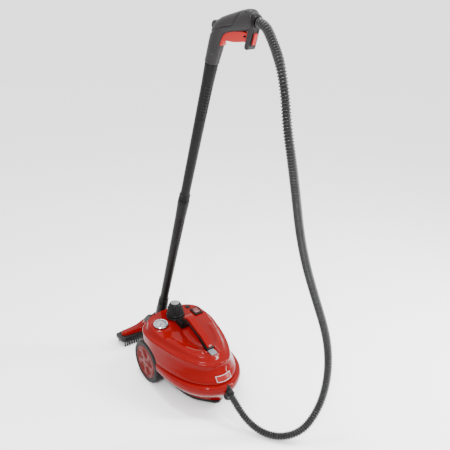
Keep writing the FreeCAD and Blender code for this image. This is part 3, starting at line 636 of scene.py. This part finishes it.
cap_profile = [(15.5, 7.2), (CAP_R - 1, 7.0), (CAP_R, 7.8), (CAP_R, 9), (CAP_R, 10), (CAP_R, 13),
               (CAP_R - 0.4, 14.2), (CAP_R - 1.4, 15.6), (CAP_R - 1.7, 18), (CAP_R - 3.4, 28),
               (CAP_R - 5.8, 38), (CAP_R - 8.0, 44),
               (CAP_R - 9.6, 47.5), (CAP_R - 11.6, 50.4), (CAP_R - 13.6, 51.8), (CAP_R - 14.6, 52.0),
               (CAP_R - 15.2, 51.2)]
rings = turned(rounded(cap_profile, 3), cap_place, CAP_RIBS * 8, cap_shape)
piece("filler_cap", *skin(rings), "cap", "black_matt", ["cap_shell"], crease=50)

disc = turned(rounded([(13.2, 50.8), (13.1, 51.8), (11.8, 52.8), (7, 53.4), (2, 53.6), (0.05, 53.6)], 3),
              cap_place, 48)
bars = []
for turn in (0.35, 0.35 + math.pi / 2):
    c, s = math.cos(turn), math.sin(turn)
    outline = [(-9, -1.6), (9, -1.6), (9, 1.6), (-9, 1.6)]
    bars.append(slab([(u * c - v * s, u * s + v * c) for u, v in outline], cap_place, 52.2, 54.4))
# the top disc takes the lighter grey lens finish as a painted reflection on its embossed face
piece("cap_top_disc", *all_of(skin(disc), *bars), "cap", "lens_grey", ["cap_disc"], soften=0.5)


# ---- carry handle -------------------------------------------------------------------------
HANDLE_TOP = [(-72, 232), (-78, 239), (-88, 240.5), (-122, 229), (-150, 218), (-162, 213), (-174, 206.5),
              (-199, 191)]
HANDLE_THICK = 7.5
HANDLE_REAR, HANDLE_FRONT = 13.0, 10.0      # half widths
TAPER_Y, TAPER_RUN = -74, 125


def handle_half(y):
    """Half width of the handle, which narrows towards the nose."""
    share = min(1.0, max(0.0, (TAPER_Y - y) / TAPER_RUN))
    return HANDLE_REAR + (HANDLE_FRONT - HANDLE_REAR) * share


def strap(line, thick):
    """Bar that follows a line in the middle plane, thick below it."""
    line = np.array(line, float)
    rings = []
    for index, (y, z) in enumerate(line):
        ahead = line[min(index + 1, len(line) - 1)] - line[max(index - 1, 0)]
        ahead /= np.linalg.norm(ahead)
        down = np.array([ahead[1], -ahead[0]])
        if down[1] > 0:
            down = -down
        half = handle_half(y)
        corners = [(-half, 0), (half, 0), (half, 1), (-half, 1)]
        ring = []
        for (x0, d0), (x1, d1) in zip(corners, corners[1:] + corners[:1]):
            for t in (0.0, 0.5):
                x, d = x0 + (x1 - x0) * t, (d0 + (d1 - d0) * t) * thick
                ring.append((x, y + down[0] * d, z + down[1] * d))
        rings.append(ring)
    return rings


handle_line = flow(HANDLE_TOP, 4)
piece("handle_top", *skin(strap(handle_line, HANDLE_THICK)), "machine", "red_gloss", ["carry_handle"],
      soften=2.0)

under_top = [(y, z - HANDLE_THICK) for y, z in HANDLE_TOP[1:]]
under_line = [(-46, 212), (-38, deck_plane(-38) + 0.5), (-58, deck_plane(-58) + 0.5),
              (-72, deck_plane(-72) + 8), (-84, 216), (-95, 219), (-150, 199),
              (-182, deck_plane(-182) + 1), (-196, deck_plane(-196) + 0.5)]
under = under_top[::-1] + [(-60, 226)] + under_line
UNDER_HALF, ROOT_HALF = 12.2, 17.0


def sideways(y, z, x):
    """Placer for outlines drawn in the machine's middle plane."""
    return (x, y, z)


root_line = [(-30, deck_plane(-30) - 1), (-66, deck_plane(-66) - 1), (-70, 210), (-52, 213), (-32, 208)]
piece("handle_under",
      *all_of(slab(under, sideways, -UNDER_HALF, UNDER_HALF),
              slab(root_line, sideways, -ROOT_HALF, ROOT_HALF)),
      "machine", "black_matt", ["handle_grip_underside"], soften=1.5)


# ---- pressure gauge dial and lens ---------------------------------------------------------
def on_deck(x, y):
    """Placer for a fitting that stands square on the sloping deck at (x, y)."""
    up = Vector((0, -DECK_SLOPE, 1)).normalized()
    back = Vector((0, 1, DECK_SLOPE)).normalized()
    foot = Vector((x, y, deck_plane(y)))
    return lambda u, v, h: tuple(foot + Vector((1, 0, 0)) * u + back * v + up * h)


dial_place = on_deck(GAUGE_X, GAUGE_Y)
plate = turned([(0.05, 3.0), (19, 3.0), (19, 3.8), (0.05, 3.8)], dial_place, 64)
piece("dial_plate", *skin(plate), "machine", "dial_white", ["gauge_dial"])
DIAL_MARKS, DIAL_FROM, DIAL_STEP = 19, -45, 15      # the last two in degrees
marks = []
for step in range(DIAL_MARKS):
    angle = math.radians(DIAL_FROM + DIAL_STEP * step)
    long_mark = step % 3 == 0
    inner, half = (12.5, 0.55) if long_mark else (14.6, 0.3)
    c, s = math.cos(angle), math.sin(angle)
    outline = [(inner, -half), (17.2, -half), (17.2, half), (inner, half)]
    marks.append(slab([(u * c - v * s, u * s + v * c) for u, v in outline], dial_place, 3.75, 3.95))
piece("gauge_marks", *all_of(*marks), "machine", "needle_black")

lens_place = on_deck(0, LENS_Y)
LENS_CELLS, CELL_PITCH = 7, 2.6
lens = [slab([(-10, -11), (10, -11), (10, 11), (-10, 11)], lens_place, 0.3, 5.0)]
for column in range(LENS_CELLS):
    for row in range(LENS_CELLS + 1):
        u, v = -9.1 + CELL_PITCH * column, -10.4 + CELL_PITCH * row
        base = [(u, v), (u + 2.4, v), (u + 2.4, v + 2.4), (u, v + 2.4)]
        top = [(u + 0.9, v + 0.9), (u + 1.5, v + 0.9), (u + 1.5, v + 1.5), (u + 0.9, v + 1.5)]
        lens.append(skin([[lens_place(*p, 4.9) for p in base], [lens_place(*p, 6.0) for p in top]]))
piece("lens_cover", *all_of(*lens), "machine", "lens_grey", ["ready_lens"])


# ---- hose outlet and blank plate on the nose ----------------------------------------------
POD_Y = -282.0
DOME_R = 12.0
POD_R = 10.0


def outlet_place(x, y, z):
    """Placer along the hose's first direction, from the elbow's centre."""
    square = Vector((0, -NOSE_WAY.z, NOSE_WAY.y))
    return tuple(ELBOW + NOSE_WAY * z + Vector((1, 0, 0)) * x + square * y)


pod_profile = [(0.05, 52), (POD_R - 4, 52), (POD_R, 57), (POD_R + 0.5, 76), (DOME_R, 88),
               (DOME_R - 1.5, 96), (DOME_R - 6, 102), (0.05, 104.5)]
pod = turned(rounded(pod_profile, 4), lambda x, y, z: (x, POD_Y + y, z), 48)
cuff_profile = [(8.6, 12), (HOSE_R + 0.4, 12.2), (HOSE_R + 1.2, 11), (HOSE_R + 1.2, 8),
                (HOSE_R + 0.4, 7), (HOSE_R + 0.4, 0), (7, -6), (0.05, -7)]
cuff = turned(rounded(cuff_profile, 3), outlet_place, 48)
piece("outlet_pod", *all_of(skin(pod), skin(cuff, capped=False)), "machine", "black_matt",
      ["hose_outlet"], crease=50)

PLATE_HALF, PLATE_LOW, PLATE_HIGH = 25.0, 112.0, 127.0
PLATE_COLUMNS, PLATE_ROWS = 24, 8
AHEAD_OF_NOSE = -400


def nose_point(x, z, lift):
    """Point on the casing's nose at (x, z), lifted off it."""
    hit, spot, normal, _ = upper_casing.ray_cast(at(x, AHEAD_OF_NOSE, z), Vector((0, 1, 0)))
    if not hit:
        raise RuntimeError("the plate lies off the casing")
    return tuple((spot + normal * lift * MM - ORIGIN) / MM)


def nose_patch(x0, x1, z0, z1, low, high, columns, rows):
    """Thin plate that follows the nose, between two heights above it."""
    xs = [x0 + (x1 - x0) * c / columns for c in range(columns + 1)]
    zs = [z0 + (z1 - z0) * r / rows for r in range(rows + 1)]
    outer = [[nose_point(x, z, high) for x in xs] for z in zs]
    edge = ([(x, z0) for x in xs[:-1]] + [(x1, z) for z in zs[:-1]]
            + [(x, z1) for x in xs[:0:-1]] + [(x0, z) for z in zs[:0:-1]])
    rim = [[nose_point(x, z, lift) for x, z in edge] for lift in (low, high)]
    return all_of((np.array(outer).reshape(-1, 3), grid_faces(rows + 1, columns + 1, closed=False)),
                  skin(rim, capped=False))


plate = nose_patch(-PLATE_HALF, PLATE_HALF, PLATE_LOW, PLATE_HIGH, -0.5, 0.9, PLATE_COLUMNS, PLATE_ROWS)
piece("blank_plate", *plate, "machine", "badge", ["badge_plate"])
BAR = 1.1
FRAME_LOW, FRAME_HIGH = 0.5, 1.3
frame_bars = []
for z0 in (PLATE_LOW, PLATE_HIGH - BAR):
    frame_bars.append(nose_patch(-PLATE_HALF, PLATE_HALF, z0, z0 + BAR, FRAME_LOW, FRAME_HIGH,
                                 PLATE_COLUMNS, 2))
for x0 in (-PLATE_HALF, PLATE_HALF - BAR):
    frame_bars.append(nose_patch(x0, x0 + BAR, PLATE_LOW, PLATE_HIGH, FRAME_LOW, FRAME_HIGH,
                                 2, PLATE_ROWS))
piece("plate_frame", *all_of(*frame_bars), "machine", "dial_white")


# ---- floor head ---------------------------------------------------------------------------
HEAD_X, HEAD_Y = 16.0, 240.0
HEAD_HALF, HEAD_DEPTH = 107.0, 31.0
HEAD_LOW, HEAD_TOP = 17.0, 34.0
PIVOT = Vector((16.5, 184, 96))


def plan(half_x, half_y, squareness, count=96):
    """Rounded oblong about the head's middle."""
    outline = []
    for k in range(count):
        angle = 2 * math.pi * k / count
        c, s = math.cos(angle), math.sin(angle)
        outline.append((half_x * math.copysign(abs(c) ** (2 / squareness), c),
                        half_y * math.copysign(abs(s) ** (2 / squareness), s)))
    return outline


def head_rings(levels, squareness):
    """Rings of the floor head at the given half sizes and heights."""
    return [[(HEAD_X + x, HEAD_Y - 1 + y, z) for x, y in plan(half_x, half_y, squareness)]
            for half_x, half_y, z in levels]


body_levels = [(HEAD_HALF - 9, HEAD_DEPTH - 7, HEAD_LOW), (HEAD_HALF - 3, HEAD_DEPTH - 1.5, HEAD_LOW + 0.6),
               (HEAD_HALF - 1, HEAD_DEPTH - 0.4, HEAD_LOW + 3), (HEAD_HALF - 0.5, HEAD_DEPTH, 27),
               (HEAD_HALF - 3, HEAD_DEPTH - 1.5, 32), (HEAD_HALF - 6, HEAD_DEPTH - 4, HEAD_TOP),
               (HEAD_HALF - 20, HEAD_DEPTH - 12, HEAD_TOP + 1)]
BODY_TEETH, TOOTH_PITCH = 14, 13
body_parts = [skin(flow(head_rings(body_levels, 5.0), 3))]
for step in range(BODY_TEETH):
    x = HEAD_X - 88 + TOOTH_PITCH * step
    body_parts.append(slab([(x, 18.5), (x + 4.5, 18.5), (x + 9, 31.5), (x + 4.5, 31.5)],
                           lambda u, v, y: (u, y, v), HEAD_Y - HEAD_DEPTH - 1.0, HEAD_Y - HEAD_DEPTH + 3))
piece("head_base", *all_of(*body_parts), "floor_head", "black_matt", ["head_body"], crease=40)
caps = []
for way in (-1, 1):
    cap_levels = [(12.2, 23.5, HEAD_LOW + 3), (12.9, 24.2, 25), (12.2, 23.5, 31.5), (9, 20, HEAD_TOP + 0.6)]
    middle = HEAD_X + way * (HEAD_HALF - 12)
    rings = [[(middle + x, HEAD_Y - 1 + y * 1.1, z) for x, y in plan(half_x, half_y, 4.0)]
             for half_x, half_y, z in cap_levels]
    caps.append(skin(flow(rings, 3)))
piece("head_end_caps", *all_of(*caps), "floor_head", "grey_grip")

COVER_HALF = 96


def cover_half(x):
    """Half depth of the red cover at x: narrow arms that widen to the stem."""
    share = abs(x) / COVER_HALF
    return 13.5 + 9.5 * (1 - share) ** 1.4


rows = []
COVER_COLUMNS, COVER_ACROSS = 64, 17
for k in range(COVER_COLUMNS + 1):
    x = -COVER_HALF + 2 * COVER_HALF * k / COVER_COLUMNS
    share = abs(x) / COVER_HALF
    end = max(0.0, 1 - share ** 14) ** 0.5
    half = max(cover_half(x) * end, 0.6)
    top = HEAD_TOP + 2 + (12.0 + 4.5 * (1 - share) ** 1.5) * max(end, 0.08) + 9 * bell(x, 20)
    row = []
    for step in range(COVER_ACROSS):
        y = math.cos(math.pi * step / (COVER_ACROSS - 1))
        crown = (1 - abs(y) ** 3.2) ** (1 / 3.2)
        sunk = 1.5 * bell(y, 0.55) if share < 0.88 and abs(x) > 24 else 0.0
        row.append((HEAD_X + x, HEAD_Y - 3 + half * y, HEAD_TOP + (top - HEAD_TOP) * crown - sunk))
    rows.append(row)
cover = (np.array(rows).reshape(-1, 3), grid_faces(COVER_COLUMNS + 1, COVER_ACROSS, closed=False))
ROLL_WAY, STEM_UP = Vector((0, 0.7071, -0.7071)), Vector((0, 0.7071, 0.7071))
STEM_STEPS = 12
stem_foot = Vector((HEAD_X, HEAD_Y - 2, 40))
stem_head = PIVOT + ROLL_WAY * 33
rows = []
for step in range(STEM_STEPS + 1):
    t = step / STEM_STEPS
    middle = stem_foot.lerp(stem_head, t)
    half_x, half_up = 17.0 - 4.5 * t, 15.5 - 3.0 * t
    rows.append([tuple(middle + Vector((1, 0, 0)) * x * half_x / 10 + STEM_UP * y * half_up / 10)
                 for x, y in plan(10, 10, 3.0, 48)])
piece("head_red_cover", *all_of(cover, skin(rows)), "floor_head", "red_gloss", ["head_cover"], crease=45)

TUFTS, TUFT_PITCH = 22, 9.0
TUFT_FOOT, TUFT_ROOT = (3.1, 3.4), (2.0, 2.6)
tufts = []
for row_y in (HEAD_Y - 26, HEAD_Y + 20):
    for step in range(TUFTS):
        x = HEAD_X - COVER_HALF + step * TUFT_PITCH
        rings = []
        for (half_x, half_y), z in ((TUFT_ROOT, 20.0), (TUFT_ROOT, 12.0), (TUFT_FOOT, 0.1)):
            rings.append([(x + u, row_y + v, z) for u, v in plan(half_x, half_y, 2.6, 16)])
        tufts.append(skin(rings))
piece("head_tufts", *all_of(*tufts), "floor_head", "bristle", ["head_bristles"])


# ---- extension tubes ----------------------------------------------------------------------
SPIGOT = 34.0
TUBE_BORE = 10.0
PANEL_TURN = math.radians(-112)     # side of the tube its ribbed grip panel is on
PANEL_HALF = 0.62                   # half its width, in radians
RIBS = 9
RIB_PITCH = 9.0


def tube_rings(length, foot):
    """One extension tube: rings above the joint, slim middle, ribbed grip panel near the top."""
    profile = [(TUBE_BORE, -SPIGOT), (11.6, -SPIGOT), (11.6, 0.3), (16.8, 0.3), (17.2, 0.8), (17.2, 3.6),
               (16.9, 4.2), (15.2, 4.6)]
    for ring in range(3):
        z = 6.0 + 7.0 * ring
        profile += [(15.2, z), (16.2, z + 0.4), (16.5, z + 1.2), (16.5, z + 2.8),
                    (16.2, z + 3.6), (15.0, z + 4)]
    profile += [(14.4, 30), (13.8, 34), (13.8, 45)]
    stretch = [(13.8, 50), (14.8, length * 0.55), (15.8, length - 60),
               (16.4, length - 40), (17.3, length - 5)]
    for (r0, z0), (r1, z1) in zip(stretch, stretch[1:]):
        count = int((z1 - z0) / 1.5)
        profile += [(r0 + (r1 - r0) * k / count, z0 + (z1 - z0) * k / count) for k in range(count)]
    profile += [(17.4, length - 3), (17.2, length - 1), (16.6, length), (11.9, length),
                (11.9, length - SPIGOT - 1), (TUBE_BORE, length - SPIGOT - 1)]
    panel_low = length - 62 - RIBS * RIB_PITCH
    panel_high = panel_low + RIBS * RIB_PITCH

    def shape(r, z, angle):
        """The grip panel's border, then its ribs."""
        if r < 13.5 or not panel_low - 14 < z < panel_high + 4:
            return r
        off = abs((angle - PANEL_TURN + math.pi) % (2 * math.pi) - math.pi) / PANEL_HALF
        if z < panel_low:
            off = math.hypot(off, (panel_low - z) / 12)
        if off > 1.12:
            return r
        if off > 0.98:
            return r - 0.5 * (1.12 - off) / 0.14
        if off > 0.86:
            return r - 0.9
        return r - 0.9 + 1.5 * max(0.0, math.cos(2 * math.pi * (z - panel_low) / RIB_PITCH)) ** 0.7

    return turned(profile, lambda x, y, z: wand(x, y, foot + z), 72, shape)


for index, word in enumerate(("lower", "upper")):
    rings = tube_rings(TUBE_PITCH, TUBE_PITCH * index)
    piece(word + "_extension", *skin(rings + rings[:1], capped=False), "wand", "black_matt",
          [word + "_tube"], crease=40)


# ---- steam gun ----------------------------------------------------------------------------
GUN_SPINE = [  # ahead, up, half height, half width
    (0, 0.6, 16.6, 16.6), (0, 1.6, 17.4, 17.4), (0.5, 12, 18.2, 18.0), (2, 36, 19.2, 19.0),
    (3.5, 60, 20.2, 19.4), (5, 74, 21.0, 19.4), (9, 88, 21.2, 19.0), (18, 100, 20.6, 18.2),
    (33, 111, 20.6, 17.4), (58, 125, 22.4, 17),
    (84, 139, 24, 17), (99, 146.5, 23.4, 17), (107, 150, 21.0, 16.4), (109.5, 151, 18.5, 14.5),
]
SEAM = [(-14, 72), (4, 88), (20, 98), (40, 108), (57, 117), (62, 128), (70, 150)]


def gun_half(way):
    """One half of the gun's body; way is the side of the middle plane it is on."""
    spine = flow(GUN_SPINE, 10)
    count = 40
    rows = []
    for index, (u, v, tall, wide) in enumerate(spine):
        ahead = spine[min(index + 1, len(spine) - 1)][:2] - spine[max(index - 1, 0)][:2]
        ahead /= np.linalg.norm(ahead)
        up = (-ahead[1], ahead[0])
        row = []
        for k in range(count + 1):
            angle = math.pi * k / count
            c, s = math.cos(angle), math.sin(angle)
            boxy = (abs(c) ** 2.2 + abs(s) ** 2.2) ** (-1 / 2.2)
            pu, pv = u + up[0] * tall * c * boxy, v + up[1] * tall * c * boxy
            out = wide * s * boxy
            dent = 3.2 * bell(distance_to(SEAM, pu, pv), 1.7) if s > 0.25 else 0.0
            lift = 0.5 * bell(angle, 0.08) + 0.5 * bell(angle - math.pi, 0.08)
            keep = 1 - (dent + lift) / max(tall, wide)
            row.append(gun(u + (pu - u) * keep, way * max(out * keep, 0.05), v + (pv - v) * keep))
        rows.append(row)
    faces = grid_faces(len(rows), count + 1, closed=False)
    last = (len(rows) - 1) * (count + 1)
    faces += [tuple(range(count + 1)), tuple(last + k for k in range(count + 1))]
    return np.array(rows).reshape(-1, 3), faces


def across_gun(u0, v0, way):
    """Placer for a part turned about an axis across the gun."""
    return lambda x, y, depth: gun(u0 + x, way * depth, v0 + y)


GUARD = [(105, 87), (106, 84), (109, 82.3), (114, 82.3), (117, 84), (118.6, 87), (119, 140), (105, 142)]
GUARD_HALF = 11.5
gun_halves = {}
for way, word in ((-1, "left"), (1, "right")):
    hump_line = [(0.05, 12.6), (8.2, 12.6), (10.4, 12.0), (11.6, 10.2), (11.8, 7), (11.8, 0.05)]
    hump = turned(rounded(hump_line, 3), across_gun(-5, 94, way), 48)
    guard = slab(GUARD, lambda u, v, side: gun(u, side, v), way * 0.05, way * GUARD_HALF)
    gun_halves[word] = piece("gun_half_" + word, *all_of(gun_half(way), skin(hump), guard), "wand",
                             "grey_grip", ["gun_shell_" + word], crease=42)

SCREW_LINE = [(0.05, -3.0), (2.6, -3.0), (2.7, 0.15), (3.4, 0.3), (3.9, 0.1), (4.0, -1.5)]
screws = []
for ahead, up in ((-5, 97), (9, 29), (89, 160)):
    start = Vector(gun(ahead, -60, up))
    inward = (Vector(gun(ahead, 0, up)) - start).normalized()
    hit, spot, _, _ = gun_halves["left"].ray_cast(at(*start), inward)
    if not hit:
        raise RuntimeError("a gun screw misses the shell")
    turn = Vector((0, 0, 1)).rotation_difference(-inward)
    foot = (spot - ORIGIN) / MM
    screws.append(skin(turned(SCREW_LINE, lambda x, y, z: tuple(foot + turn @ Vector((x, y, z))), 24)))
# the screw heads share the hose finish, so their edges get its painted highlight and their hollows its
# painted shade
piece("gun_screw_heads", *all_of(*screws), "wand", "hose_black", ["gun_screws"])

FRAME_BACK, FRAME_FACE = 118.5, 120.2
slot_frame = []
for low, high, y0, y1 in ((93, 96, -7.5, 7.5), (93, 132, -7.5, -5.6), (93, 132, 5.6, 7.5)):
    outline = [(y0, low), (y1, low), (y1, high), (y0, high)]
    slot_frame.append(slab(outline, lambda u, v, f: gun(f, u, v), FRAME_BACK, FRAME_FACE))
piece("guard_slot_frame", *all_of(*slot_frame), "wand", "grey_grip", soften=0.5)

TRIGGER = [(9, 60), (10.5, 56.5), (15, 54.6), (22, 54.4), (27.5, 55.8), (29.5, 59), (28.4, 62.4),
           (26, 63.4), (27, 66.5), (33, 70.5), (45, 74.5), (62, 79.2), (80, 86.5), (94, 93),
           (105.5, 97), (105.5, 116), (86, 114), (60, 104), (36, 92), (26, 83), (17, 71)]
TRIGGER_HALF = 7.8
piece("red_trigger", *slab(TRIGGER, lambda u, v, side: gun(u, side, v), -TRIGGER_HALF, TRIGGER_HALF),
      "trigger", "red_trigger", ["trigger"], soften=1.2)


def exit_place(x, y, z):
    """Placer for parts turned about the hose end of the gun."""
    square = Vector((-EXIT_WAY.z, 0, EXIT_WAY.x))
    spot = Vector((COLLAR_AT[0], 0, COLLAR_AT[1])) + EXIT_WAY * z + square * x + Vector((0, 1, 0)) * y
    return gun(spot.x, spot.y, spot.z)


collar = [(13.2, COLLAR_L), (7, COLLAR_L), (7, 10.4), (16.3, 10.4), (16.6, 11), (16.6, 12.8),
          (16, 13.8), (15, 14.4), (15, COLLAR_L - 1), (14.4, COLLAR_L)]
piece("hose_cuff", *skin(turned(rounded(collar, 2), exit_place, 64)), "wand", "black_matt",
      ["hose_collar"], crease=45)


# ---- floor and lights ---------------------------------------------------------------------
FLOOR_HALF = 400.0              # metres, so that its edge lies at the horizon
SKY_LOW, SKY_HIGH = 1.6, 2.6    # brightness at the horizon and overhead
floor_mesh = bpy.data.meshes.new("floor")
floor_mesh.from_pydata([(x, y, 0) for x, y in ((-FLOOR_HALF, -FLOOR_HALF), (FLOOR_HALF, -FLOOR_HALF),
                                               (FLOOR_HALF, FLOOR_HALF), (-FLOOR_HALF, FLOOR_HALF))],
                       [], [(0, 1, 2, 3)])
floor_mesh.materials.append(finish("floor", (0.93, 0.93, 0.93), 0.8, 200.0, 0.02, 0.0))
floor = bpy.data.objects.new("floor", floor_mesh)
bpy.context.scene.collection.objects.link(floor)
floor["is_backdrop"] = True

world = bpy.data.worlds.new("studio")
world.use_nodes = True
sky = world.node_tree
direction = sky.nodes.new("ShaderNodeTexCoord")
height = sky.nodes.new("ShaderNodeSeparateXYZ")
strength = sky.nodes.new("ShaderNodeMapRange")
strength.inputs["From Min"].default_value = 0.05
strength.inputs["From Max"].default_value = 0.75
strength.inputs["To Min"].default_value = SKY_LOW
strength.inputs["To Max"].default_value = SKY_HIGH
sky.links.new(direction.outputs["Generated"], height.inputs["Vector"])
sky.links.new(height.outputs["Z"], strength.inputs["Value"])
sky.links.new(strength.outputs["Result"], sky.nodes["Background"].inputs["Strength"])
sky.nodes["Background"].inputs["Color"].default_value = (1, 1, 1, 1)
bpy.context.scene.world = world


def softbox(name, place, target, size, watts):
    """Rectangular lamp at a place in metres, facing its target."""
    light = bpy.data.lights.new(name, "AREA")
    light.shape = "RECTANGLE"
    light.size, light.size_y = size
    light.energy = watts
    obj = bpy.data.objects.new(name, light)
    obj.location = place
    obj.rotation_euler = (Vector(target) - Vector(place)).to_track_quat("-Z", "Y").to_euler()
    bpy.context.scene.collection.objects.link(obj)


MACHINE = at(0, -110, 120)
softbox("key", (-1.3, -1.6, 1.9), MACHINE, (0.16, 0.6), 50)
softbox("fill", (1.1, -0.9, 1.6), MACHINE, (0.16, 0.8), 46)
softbox("rib", (1.5, -1.2, 0.9), at(120, -470, 600), (0.1, 1.2), 26)
softbox("top", (-0.1, 0.1, 2.6), MACHINE, (0.25, 0.5), 40)

low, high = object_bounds()
